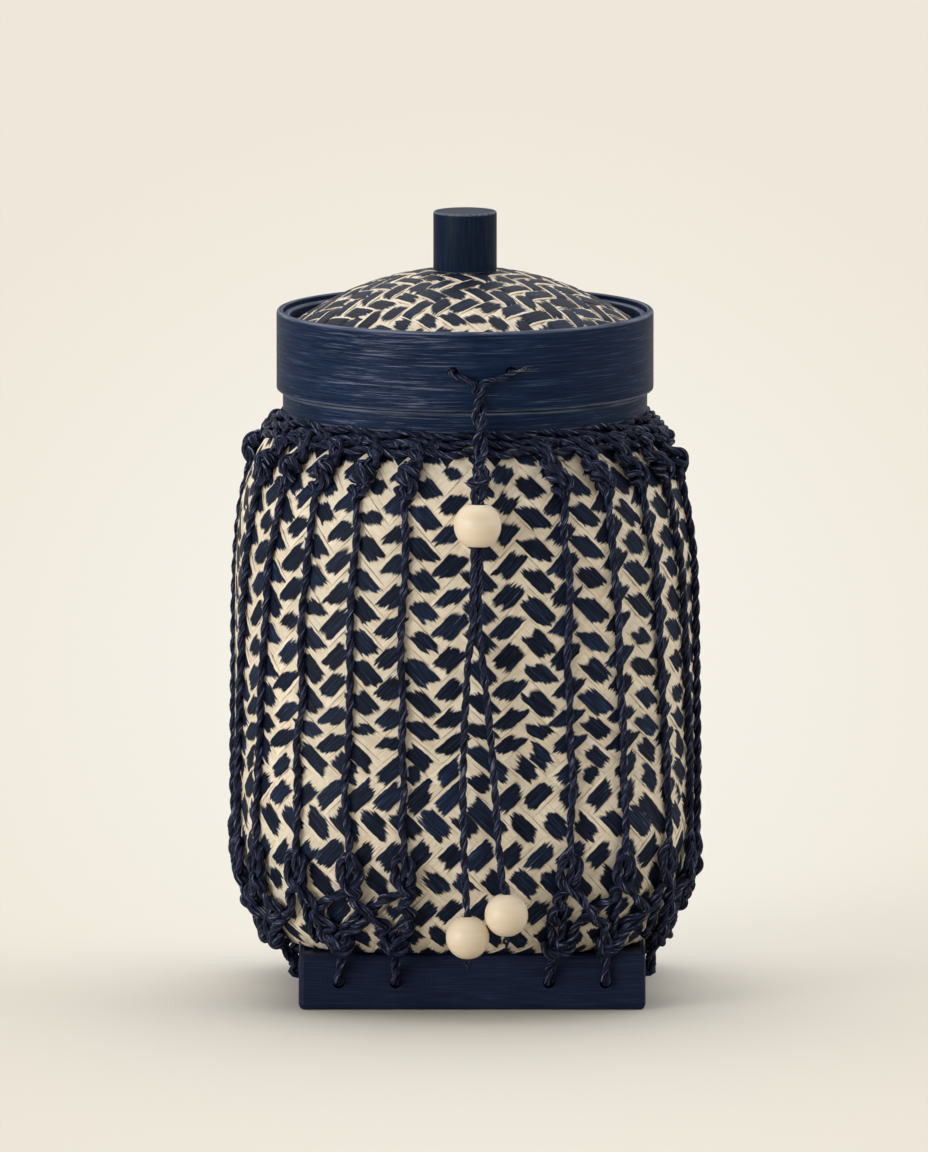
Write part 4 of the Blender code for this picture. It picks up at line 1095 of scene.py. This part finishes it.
def plaited(add, place):
    """Shader nodes for strips of 5 mm plaited at 45 degrees: the height of the surface, and its grain."""
    parts = add("SeparateXYZ", {"Vector": place})
    turn = add("Math", {0: parts.outputs["X"], 1: parts.outputs["Y"]}, operation="ARCTAN2")
    around = add("Math", {0: turn, 1: LINING_CELLS / math.tau}, operation="MULTIPLY")
    up = add("Math", {0: parts.outputs["Z"], 1: LINING_CROSSING}, operation="DIVIDE")
    wall = add("CombineXYZ", {"X": around, "Y": up})
    level = add("Mapping", {"Vector": place, "Scale": (1.0 / LINING_CROSSING,) * 3})
    facing = add("SeparateXYZ", {"Vector": add("NewGeometry").outputs["Normal"]})
    lying = add("Math", {0: facing.outputs["Z"]}, operation="ABSOLUTE")
    lying = add("Math", {0: lying, 1: 0.7}, operation="GREATER_THAN")
    sheet = add("Mix", {"Factor": lying, "A": wall, "B": level}, data_type="VECTOR")
    flat = add("SeparateXYZ", {"Vector": sheet})
    both = {0: flat.outputs["X"], 1: flat.outputs["Y"]}
    ways = [add("Math", both, operation=operation) for operation in ("ADD", "SUBTRACT")]
    edges = [add("Math", {0: way, 1: 0.5}, operation="PINGPONG") for way in ways]
    crossing = add("CombineXYZ", {"X": ways[0], "Y": ways[1], "Z": 0.5})
    over = add("TexChecker", {"Vector": crossing, "Scale": 1.0}).outputs["Fac"]
    first = streaks(add, crossing, (0.6, 9.0, 1.0), 4.0, 0.5)
    second = streaks(add, crossing, (9.0, 0.6, 1.0), 4.0, 0.5)
    grain = add("Mix", {"Factor": over, "A": first, "B": second})
    return add("Math", {0: edges[0], 1: edges[1]}, operation="MINIMUM"), grain


def plain_bamboo(name, weave):
    """Undyed bamboo, plaited or as one bent strip."""
    made, shader, add = new_finish(name, {"Roughness": 0.5, "Specular IOR Level": 0.3})
    where = add("TexCoord").outputs["Object"]
    if weave:
        height, grain = plaited(add, where)
    else:
        # The grain of a bent hoop runs round it, so it changes fast only upwards: streaks of 17 by 0.7 mm
        height = grain = streaks(add, where, (60.0, 60.0, 1500.0), 4.0, 0.5)
    colour = add("ValToRGB", {"Fac": grain}, [(0.3, "#cdb388"), (0.5, "#dfc9a2"), (0.72, "#eddebf")])
    if weave:
        # Painted shade where a strip goes down beside its neighbour
        shade = add("MapRange", {"Value": height, "From Max": 0.14, "To Min": 0.75, "To Max": 0.0})
        colour = add("Mix", {"Factor": shade, "A": colour, "B": linear("#5f4728")}, data_type="RGBA")
    relief = add("Bump", {"Height": height, "Strength": 0.5, "Distance": 0.6 * MM})
    set_inputs(shader, {"Base Color": colour, "Normal": relief})
    return made


woven_lining = plain_bamboo("split_bamboo_plain_lining", True)
bamboo_hoop = plain_bamboo("split_bamboo_hoop", False)
dress("lining_basket", woven_lining)
dress("lid_dome_lining", woven_lining)
dress("mouth_hoop", bamboo_hoop)
dress("knob_washer", bamboo_hoop)

# %% [markdown]
# The screw that holds the knob is zinc-plated steel, which is dull and a little mottled.

# %% The screw
plain_steel, shader, add = new_finish("zinc_plated_steel_screw", {"Roughness": 0.35, "Metallic": 1.0})
dull = add("TexNoise", {"Vector": add("TexCoord").outputs["Object"], "Scale": 900.0, "Detail": 2.0})
steel_colour = add("ValToRGB", {"Fac": dull}, [(0.3, "#a9abad"), (0.7, "#c9cbcd")])
set_inputs(shader, {"Base Color": steel_colour})
dress("knob_screw", plain_steel)

# %% [markdown]
# ## The net
# Twenty cords hang in four groups of five, one group over each corner. Each is doubled over the cords round
# the neck, tied in a knot under them, and falls straight down the wall. Near the foot it meets a loop, and
# two strands spread from there to the neighbours' strands. They hook round them, come back to a second knot,
# and a tail goes from that into a hole of the foot.
#
# A knot is drawn as the route that the real cord takes: over, round the back, and out again. The routes are
# lists of (sideways, upwards, outwards) in millimetres from the knot's middle, laid on the wall with the same
# surface function as the strips. A few short lists give every knot, and a little seeded unevenness keeps any
# two from being the same.

# %% Knots as routes
def coil(top, bottom, turns, radius, start):
    """A route that winds down round a knot's heart: its height falls from top to bottom in these turns."""
    share = np.linspace(0.0, 1.0, round(abs(turns) * 8) + 1)
    turn = math.radians(start) + share * turns * math.tau
    height = top + (bottom - top) * share
    return np.stack([radius * np.sin(turn), height, 2.1 + 0.75 * radius * np.cos(turn)], axis=-1).tolist()


TOP_HITCH = (
    (-5.6, 9.8, 1.0), (-4.0, 10.8, 1.3), (-2.2, 10.6, 1.8), *coil(9.4, 4.6, 0.9, 1.15, -45.0),
    (-0.4, 2.4, 2.0), (0.3, 0.0, 2.2), (-0.2, -2.6, 2.0), (0.0, -5.6, 1.4), (0.0, -9.5, 1.2),
)
TOP_PARTNER = (
    (5.6, 10.0, 1.0), (4.0, 11.0, 1.2), (2.2, 10.6, 1.4), *coil(9.4, 4.8, 0.9, 1.15, 135.0),
    *coil(3.6, -3.6, 2.4, 2.2, 130.0), (-0.3, -4.8, 1.4), (0.2, -6.2, 1.1),
)
TOP_OVER = (
    (-2.2, 4.6, 1.4), (-2.3, 2.6, 3.2), (-0.6, 0.4, 5.0), (1.6, -1.8, 4.2), (2.0, -3.8, 2.0),
    (0.6, -5.0, 1.3),
)
LOW_CORE = (
    (0.0, 10.0, 1.4), (0.0, 7.0, 1.9), (0.2, 4.4, 2.8), (0.1, 1.6, 2.7), (-0.1, -1.2, 1.8), (-0.2, -4.0, 1.2),
    (-0.2, -7.0, 1.2), (0.0, -11.0, 1.3),
)
LOW_OVER = (
    (0.8, 6.4, 1.1), (-0.8, 6.8, 1.5), (-2.1, 5.2, 2.1), (-2.4, 2.6, 2.4), (-2.0, 0.0, 2.8),
    (-0.5, -2.2, 3.5), (1.9, -3.9, 3.2),
)
LOW_UNDER = (
    (-0.8, 5.9, 1.1), (0.8, 6.3, 1.3), (2.1, 4.6, 1.9), (2.5, 2.0, 2.3), (1.9, -0.7, 2.3), (0.2, -2.5, 2.2),
    (-2.1, -3.7, 2.4),
)
FOOT_CROSSING = ((-3.0, 3.2, 1.6), (-1.6, 1.2, 2.6), (0.5, -0.6, 2.9), (1.2, -2.4, 2.2), (0.5, -4.0, 1.5))
FOOT_WRAP = (
    (-3.6, 0.6, 1.2), (-3.0, -0.6, 2.4), (-1.2, -1.4, 3.9), (1.2, -1.5, 4.0), (3.0, -0.6, 2.5),
    (3.6, 0.7, 1.2),
)
KNOT_STRAND = 1.6 * MM
NET_CORD = 1.25 * MM


def laid(angle, length, route, lean=0.0, mirror=1.0, jitter=None):
    """World points of a route that is laid on the wall round a knot's middle."""
    route = np.array(route, float)
    if jitter is not None:
        route = route + jitter.normal(0.0, 0.24, route.shape) * (1.0, 1.0, 0.5)
    height = height_at(length + route[:, 1] * MM)
    radius = np.linalg.norm(wall_point(np.full(len(route), angle), height)[:, :2], axis=1)
    side = (route[:, 0] * mirror + lean * route[:, 1]) * MM
    return on_wall(angle + side / radius, height, np.maximum(route[:, 2], 1.1) * MM)


# %% [markdown]
# The foot's holes, and which cord goes to which, are worked out as in the CAD source. Each corner cord has
# no hole of its own: its two strands run to the knots beside it.

# %% Where each cord ends
BASE_MIDDLE = np.array((2.0, 0.0, 7.9)) * MM
BASE_HALF = 49.3 * MM
HOLE_OFFSETS = {"front": (21.8, 37.9), "back": (21.8, 37.9), "left": (17.0, 31.5), "right": (17.0, 31.5)}
OUTWARD = {
    "front": (0.0, -1.0, 0.0), "right": (1.0, 0.0, 0.0), "back": (0.0, 1.0, 0.0), "left": (-1.0, 0.0, 0.0),
}
SIDES = ("front", "right", "back", "left")
GROUPS = ("front_right", "back_right", "back_left", "front_left")


def side_holes(side):
    """The four holes of one side of the foot, each with the direction it faces."""
    out = np.array(OUTWARD[side])
    along = np.array((-out[1], out[0], 0.0))
    near, far = HOLE_OFFSETS[side]
    return [(out, BASE_MIDDLE + out * BASE_HALF + along * offset * MM) for offset in (-far, -near, near, far)]


def tail_path(angle, out, hole):
    """From the knot at the foot, over the slat's edge and into its hole."""
    knot = laid(angle, FOOT_KNOT, ((0.0, 0.8, 2.6), (0.0, -2.4, 2.4)))
    lip = hole + UP * 1.7 * MM
    bend = 1.5 * MM
    over_lip = [lip + out * bend + UP * 1.2 * MM, lip + (out - UP) * bend * 0.82]
    return [*knot, *over_lip, lip - UP * bend - out * 8.0 * MM]

# %% [markdown]
# The places of the knots are lengths up the wall. At the top the five cords of a group are evenly spaced,
# and their middle is 5 degrees past the corner. At the foot four of them have come most of the way over to
# their own holes, and the middle one, which has none, falls straight.

# %% The knots of each group
TOP_KNOT = float(length_up(136.4 * MM))
LOW_KNOT = float(length_up(23.5 * MM))
FOOT_KNOT = float(length_up(5.0 * MM))
LEANS = {"front_right": -0.22, "back_right": 0.22, "back_left": -0.22, "front_left": 0.22}
SPACING = math.radians(12.4)
cord_chance = np.random.default_rng(5)
net_angles = {}
for group, group_name in enumerate(GROUPS):
    middle = math.radians(45.0 + 90.0 * group + 5.0)
    first, second = side_holes(SIDES[group]), side_holes(SIDES[(group + 1) % 4])
    holes = [first[2], first[3], None, second[0], second[1]]
    angles = [middle + (k - 2) * SPACING for k in range(5)]
    feet = []
    for angle, hole in zip(angles, holes):
        over = math.atan2(hole[1][0], -hole[1][1]) if hole else angle
        feet.append(angle + ((over - angle + math.pi) % math.tau - math.pi) * 0.7)
    net_angles[group_name] = (angles, feet, holes)
print("knots at", [round(length / MM) for length in (TOP_KNOT, LOW_KNOT, FOOT_KNOT)], "mm up the wall")

# %% [markdown]
# Two strands spread from the low knot, hook round the neighbours' strands half way to the next cord, and
# come back to the knot at the foot. Where two of them cross, one passes over on the way out and under on the
# way back.

# %% The strands between the knots
def wall_radius(angle, length):
    """How far the wall is from the axis at an angle and a length up the wall."""
    return float(np.linalg.norm(wall_point(np.array(angle), np.array(height_at(length)))[:2]))


def low_start(angle, side):
    """The stretch of a side strand inside the low knot: the right one passes over the left one."""
    return laid(angle, LOW_KNOT, LOW_OVER if side > 0 else LOW_UNDER, jitter=cord_chance)


def link_strand(angle, foot_angle, side, reach):
    """A strand from a low knot out to where it hooks round its neighbour's, and back to the foot's knot."""
    over, under = (2.9, 1.6) if side > 0 else (1.6, 2.9)
    hook = (
        (side * 3.2, 4.4, 2.4), (side * (reach - 1.9), 2.2, over), (side * (reach + 0.2), 0.7, over),
        (side * (reach + 0.5), -0.9, under), (side * (reach - 1.3), -2.2, under), (side * 3.4, -4.0, 1.6),
    )
    out = laid((angle + foot_angle) / 2, (LOW_KNOT + FOOT_KNOT) / 2, hook, jitter=cord_chance)
    back = laid(foot_angle, FOOT_KNOT, FOOT_CROSSING, mirror=-side, jitter=cord_chance)
    return [*low_start(angle, side), *out, *back]


# %% [markdown]
# Now each cord of the net is put together: hitch and top knot, the straight fall with a little slack in it,
# the low knot, both strands and the tail. They make one piece that stands for that cord's CAD solid.

# %% The net's cords
for group_name in GROUPS:
    angles, feet, holes = net_angles[group_name]
    for k, (angle, foot_angle, hole) in enumerate(zip(angles, feet, holes)):
        lean = LEANS[group_name]
        phase = float(cord_chance.uniform(0.0, math.tau))
        hitch = laid(angle, TOP_KNOT, TOP_HITCH, lean, jitter=cord_chance)
        partner = laid(angle, TOP_KNOT, TOP_PARTNER, lean, jitter=cord_chance)
        lengths = np.linspace(TOP_KNOT - 16.0 * MM, LOW_KNOT + 15.0 * MM, 8)
        sway = cord_chance.normal(0.0, 0.35 * MM, len(lengths)) / BELLY_HALF_WIDTH
        fall = on_wall(angle + sway, height_at(lengths), 1.2 * MM)
        core = laid(angle, LOW_KNOT, LOW_CORE, jitter=cord_chance)
        foot = laid(foot_angle, FOOT_KNOT, ((0.0, 2.6, 1.6), (0.2, -0.6, 1.5)), jitter=cord_chance)
        parts = [
            twisted([*hitch[:-1], *fall, *core, *foot], NET_CORD, phase),
            twisted(partner, KNOT_STRAND, phase + 1.0),
            twisted(laid(angle, TOP_KNOT, TOP_OVER, lean, jitter=cord_chance), NET_CORD, phase + 2.0),
        ]
        half = wall_radius(angle, (LOW_KNOT + FOOT_KNOT) / 2) * SPACING / 2 / MM
        reaches = {-1.0: half if k > 0 else 3.4, 1.0: half if k < 4 else 3.4}
        if hole:
            for side, reach in reaches.items():
                parts.append(twisted(link_strand(angle, foot_angle, side, reach), KNOT_STRAND, phase + side))
            wrap = laid(foot_angle, FOOT_KNOT, FOOT_WRAP, jitter=cord_chance)
            parts.append(twisted(wrap, KNOT_STRAND, phase))
            parts.append(twisted(tail_path(foot_angle, *hole), 1.5 * MM, phase))
        else:
            for side, beside in ((-1.0, feet[k - 1]), (1.0, feet[k + 1])):
                fork = ((side * 3.0, 4.0, 2.4), (side * 4.6, -0.5, 2.0))
                out = laid(angle, (LOW_KNOT + FOOT_KNOT) / 2, fork)
                ending = ((-side * 4.4, 3.6, 2.0), (-side * 1.4, 0.8, 3.0), (side * 0.6, -1.4, 2.4))
                back = laid(beside, FOOT_KNOT, ending)
                parts.append(twisted([*low_start(angle, side), *out, *back], KNOT_STRAND, phase + side))
        piece(
            f"net_rope_{group_name}_{k + 1}", parts, dyed_cord, "basket", [f"net_cord_{group_name}_{k + 1}"],
        )

# %% [markdown]
# The neck cords lie round the shoulder, under the hoop. Between two hitches they sag and cross a little, so
# each gets a slow wave up and down, a different one for each.

# %% The neck cords
for rank, strands in (("upper", ((1.5, 17), (3.5, 19))), ("lower", ((5.8, 23),))):
    parts = []
    for drop, waves in strands:
        turns = np.linspace(0.0, math.tau, 161)
        heights = (149.0 - drop + 0.5 * np.sin(turns * waves)) * MM
        ring = on_wall(turns, heights, (1.4 + 0.25 * np.cos(turns * waves)) * MM)
        parts.append(twisted(ring, 1.3 * MM, drop))
    piece(f"neck_rope_{rank}", parts, dyed_cord, "basket", [f"neck_cord_{rank}"])

# %% [markdown]
# ## Beads
# The beads are turned from a pale wood such as maple, sanded and rubbed with a little oil, so they are
# smooth but not glossy, with faint growth lines. Each has a bore with a small rounded lip.

# %% Pale turned wood
BEAD_SIDES = 48
bead_wood, shader, add = new_finish("turned_pale_maple", {"Roughness": 0.4})
grain = streaks(add, add("TexCoord").outputs["Object"], (90.0, 90.0, 700.0), 3.0, 0.5)
bead_colour = add("ValToRGB", {"Fac": grain}, [(0.3, "#f6e1c2"), (0.5, "#f8e5c9"), (0.7, "#faead1")])
set_inputs(shader, {"Base Color": bead_colour})


def bead_part(centre, direction, width, height, bore):
    """A turned bead with flattened ends and a bore, as a mesh part."""
    flat = bore + 0.5 * MM
    lean = math.acos(flat / (width / 2))
    section = []
    for turn in np.linspace(lean, -lean, 23):
        section.append((width / 2 * math.cos(turn), height / 2 * math.sin(turn) / math.sin(lean)))
    section += [(bore + 0.12 * MM, -height / 2 + 0.02 * MM), (bore, -height / 2 + 0.35 * MM)]
    section += [(bore, height / 2 - 0.35 * MM), (bore + 0.12 * MM, height / 2 - 0.02 * MM)]
    points, faces, coordinates = turned_part(section, BEAD_SIDES)
    turn = Vector((0.0, 0.0, -1.0)).rotation_difference(Vector(direction))
    return [tuple(turn @ Vector(point) + Vector(centre)) for point in points], faces, coordinates


for name, centre in BEAD_CENTRES.items():
    bead = bead_part(np.array(centre) * MM, -UP, END_BEAD, END_BEAD * 0.97, CORD_RADIUS + 0.2 * MM)
    piece(
        f"turned_bead_{name}", [bead], bead_wood, "lid", [f"end_bead_{name}"]
    )
run_start, run_end = np.array(TWIN_ROUTE[WOUND : WOUND + 2]) * MM
run_direction = (run_end - run_start) / np.linalg.norm(run_end - run_start)
slider = bead_part(run_start + run_direction * 7.0 * MM, run_direction, 13.5 * MM, 12.0 * MM, 2.6 * MM)
piece("turned_slider_bead", [slider], bead_wood, "slider_bead", ["slider_bead"])

# %% [markdown]
# Each strand of the closing cord is a free cord that hangs from its hole. Its length is measured along its
# centre line, from the rim's face to under the bead.

for name, (strand, knot, path, length) in closing_strands.items():
    print(name, "strand: a free cord of", round(length / MM), "mm")

# %% [markdown]
# ## The knot over the slider
# Over the slider bead the two strands are tied in one knot: one route makes its body, and a second one is
# wrapped round it below.

# %% The knot over the slider
TWIN_KNOT = (
    (-1.6, 0.4, 4.2), (1.4, -1.8, 2.6), (2.4, -0.6, 0.4), (0.6, 1.6, -1.4), (-2.2, 0.8, -2.2),
    (-2.4, -1.4, -0.6), (0.2, -2.4, 0.8), (2.2, -0.8, 2.4), (1.2, 1.2, 3.8),
)
TWIN_WRAP = ((-2.0, 0.8, -3.6), (-1.2, -1.8, -2.4), (1.2, -2.0, -1.8), (2.1, 0.4, -2.6), (0.2, 1.6, -3.6))
KNOT_PLACE = np.array((4.1, -65.6, 154.6)) * MM
KNOT_LEAN = math.radians(-42.0)  # it leans with the cord over the shoulder


def leaned(route):
    """The world points of a route round the knot's place."""
    x, y, z = np.array(route).T
    cos, sin = math.cos(KNOT_LEAN), math.sin(KNOT_LEAN)
    return KNOT_PLACE + np.stack([x, y * cos + z * sin, z * cos - y * sin], axis=1) * MM


knot_parts = [twisted(leaned(TWIN_KNOT), 1.05 * MM), twisted(leaned(TWIN_WRAP), 1.05 * MM, 2.0)]
piece("twin_knot", knot_parts, dyed_cord, "lid", ())

# %% [markdown]
# Inside the lid the two strands are one cord. It comes in through one hole, turns behind the inner hoop and
# goes out through the other.

# %% The bridge behind the rim
bridge = []
inside = INNER_HOOP_INNER - 2 * CORD_RADIUS
for hole_side, inward in zip(RIM_HOLE_SIDES.values(), (1.0, -1.0)):
    turn_side = hole_side + inward * 2 * CORD_RADIUS
    stretch = [
        (hole_side, 1.2 * MM - math.sqrt(RIM_OUTER**2 - hole_side**2), RIM_HOLE_HEIGHT),
        (hole_side, CORD_RADIUS - math.sqrt(INNER_HOOP_INNER**2 - hole_side**2), RIM_HOLE_HEIGHT),
        (turn_side, -math.sqrt(inside**2 - turn_side**2), RIM_HOLE_HEIGHT),
    ]
    bridge += stretch if inward > 0 else stretch[::-1]
piece("bridge_cord", [twisted(bridge)], dyed_cord, "lid", ["closing_cord_bridge"])

# %% [markdown]
# At the right hole an undyed end of the cord sticks out. It has frayed into seven hairs that lie along the
# rim, each with a rise of its own, and a short stub fills the hole.

# %% The frayed end
bare_fibre, shader, add = new_finish("undyed_cord_fibre", {"Roughness": 0.6})
fuzz = add("TexNoise", {"Vector": add("UVMap", uv_map="run"), "Scale": 3.0, "Detail": 2.0})
fuzz_colour = add("ValToRGB", {"Fac": fuzz}, [(0.3, "#77727c"), (0.7, "#c4bdb2")])
set_inputs(shader, {"Base Color": fuzz_colour})
hair_chance = np.random.default_rng(21)
hairs = []
for _ in range(7):
    root = RIM_HOLE_HEIGHT + hair_chance.uniform(-0.4, 0.4) * MM
    reach = hair_chance.uniform(2.5, 7.0) * MM
    rise = hair_chance.uniform(0.2, 1.9) * MM
    hair = []
    for share in (0.0, 0.35, 0.7, 1.0):
        x = RIM_HOLE_SIDES["right"] + 0.8 * MM + reach * share
        lift = 0.35 * MM + hair_chance.uniform(0.0, 0.5) * MM
        z = root + rise * share + hair_chance.uniform(-0.2, 0.2) * MM
        hair.append((x, -math.sqrt((RIM_OUTER + lift) ** 2 - x**2), z))
    hairs.append(twisted(hair, 0.06 * MM, 0.0, (1.2, 0.5)))
stub_x = RIM_HOLE_SIDES["right"] + 0.2 * MM
stub_y = -math.sqrt(RIM_OUTER**2 - stub_x**2)
stub = [
    (stub_x, stub_y + 0.4 * MM, RIM_HOLE_HEIGHT),
    (stub_x + 0.9 * MM, stub_y - 0.7 * MM, RIM_HOLE_HEIGHT + 0.1 * MM),
]
piece("frayed_end", [*hairs, twisted(stub, 0.55 * MM)], bare_fibre, "lid", ())

# %% [markdown]
# ## Floor and light
# The photograph has a plain warm paper ground. The camera looks down a little from far away, so the floor
# alone fills the whole picture, and its colour gives the ground. The paper is painted palest a little behind
# the basket and darker from there to all sides: a painted pool of light. Rays that bounce off the floor
# towards the basket see it darker, as a grey studio floor would be, so that the dyed pieces keep their depth.
# Only the eye sees the pale paper.

# %% The floor
LIGHT_POOL_BEHIND = 0.72
FLOOR_REACH = 20.0
floor_finish, shader, add = new_finish("matt_paper_floor", {"Roughness": 0.95, "Specular IOR Level": 0.0})
where = add("TexCoord").outputs["Object"]
widened = add("Mapping", {"Vector": where, "Location": (0.0, -LIGHT_POOL_BEHIND, 0.0), "Scale": (7.0, 1.0, 1.0)})
spread = add("VectorMath", {0: widened}, operation="LENGTH")
# The falloff paints a pool of light on the paper, palest a little behind the basket
away = add("MapRange", {"Value": spread, "From Min": 0.3, "From Max": 1.4})
paper = add("ValToRGB", {"Fac": away}, [(0.0, "#f1ede4"), (1.0, "#e9e2d6")])
eye = add("LightPath").outputs["Is Camera Ray"]
ground = add("Mix", {"Factor": eye, "A": linear("#c6bfb2"), "B": paper}, data_type="RGBA")
set_inputs(shader, {"Base Color": ground})
floor_mesh = bpy.data.meshes.new("floor")
corners = [(x * FLOOR_REACH, y * FLOOR_REACH, 0) for x, y in ((-1, -1), (1, -1), (1, 1), (-1, 1))]
floor_mesh.from_pydata(corners, [], [(0, 1, 2, 3)])
floor_mesh.materials.append(floor_finish)
placed("floor", floor_mesh)

# %% [markdown]
# The main light comes low from the left and is soft, and a weaker one answers it from the right. Two lamps
# high behind the basket light the floor and leave the shadow close in front of the foot. All are sun lamps
# with a wide angle, because a sun lights the whole floor evenly. The sky around them fills the shadows,
# and to the eye it has the floor's far colour, so that no dark edge shows behind the floor in a low view.

# %% The lamps
def soft_sun(name, azimuth, rise, spread, level, colour):
    """A sun from a side (0 is the front, 90 the right) that gives a facing surface this level of light."""
    data = bpy.data.lights.new(name, "SUN")
    data.energy = level * math.pi
    data.angle = math.radians(spread)
    data.color = linear(colour)[:3]
    turn, lift = math.radians(azimuth), math.radians(rise)
    towards = Vector((math.sin(turn) * math.cos(lift), -math.cos(turn) * math.cos(lift), math.sin(lift)))
    placed(name, data).rotation_euler = towards.to_track_quat("Z", "Y").to_euler()
    print(name, "lamp from", azimuth, "degrees at level", level)


soft_sun("key", -52.0, 3.0, 40.0, 0.86, "#fffdf9")
soft_sun("fill", 84.0, 3.0, 50.0, 0.3, "#fffdf9")
soft_sun("back_left", -145.0, 52.0, 85.0, 0.43, "#ffffff")
soft_sun("back_right", 145.0, 52.0, 85.0, 0.43, "#ffffff")
world = bpy.data.worlds.new("studio")
world.use_nodes = True
eye = add_node(world.node_tree, "LightPath").outputs["Is Camera Ray"]
sky = {"Factor": eye, "A": linear("#8a8a88"), "B": linear("#ede6da")}
sky = add_node(world.node_tree, "Mix", sky, data_type="RGBA")
set_inputs(world.node_tree.nodes["Background"], {"Color": sky, "Strength": 1.0})
bpy.context.scene.world = world
bpy.context.scene.view_settings.view_transform = "Standard"
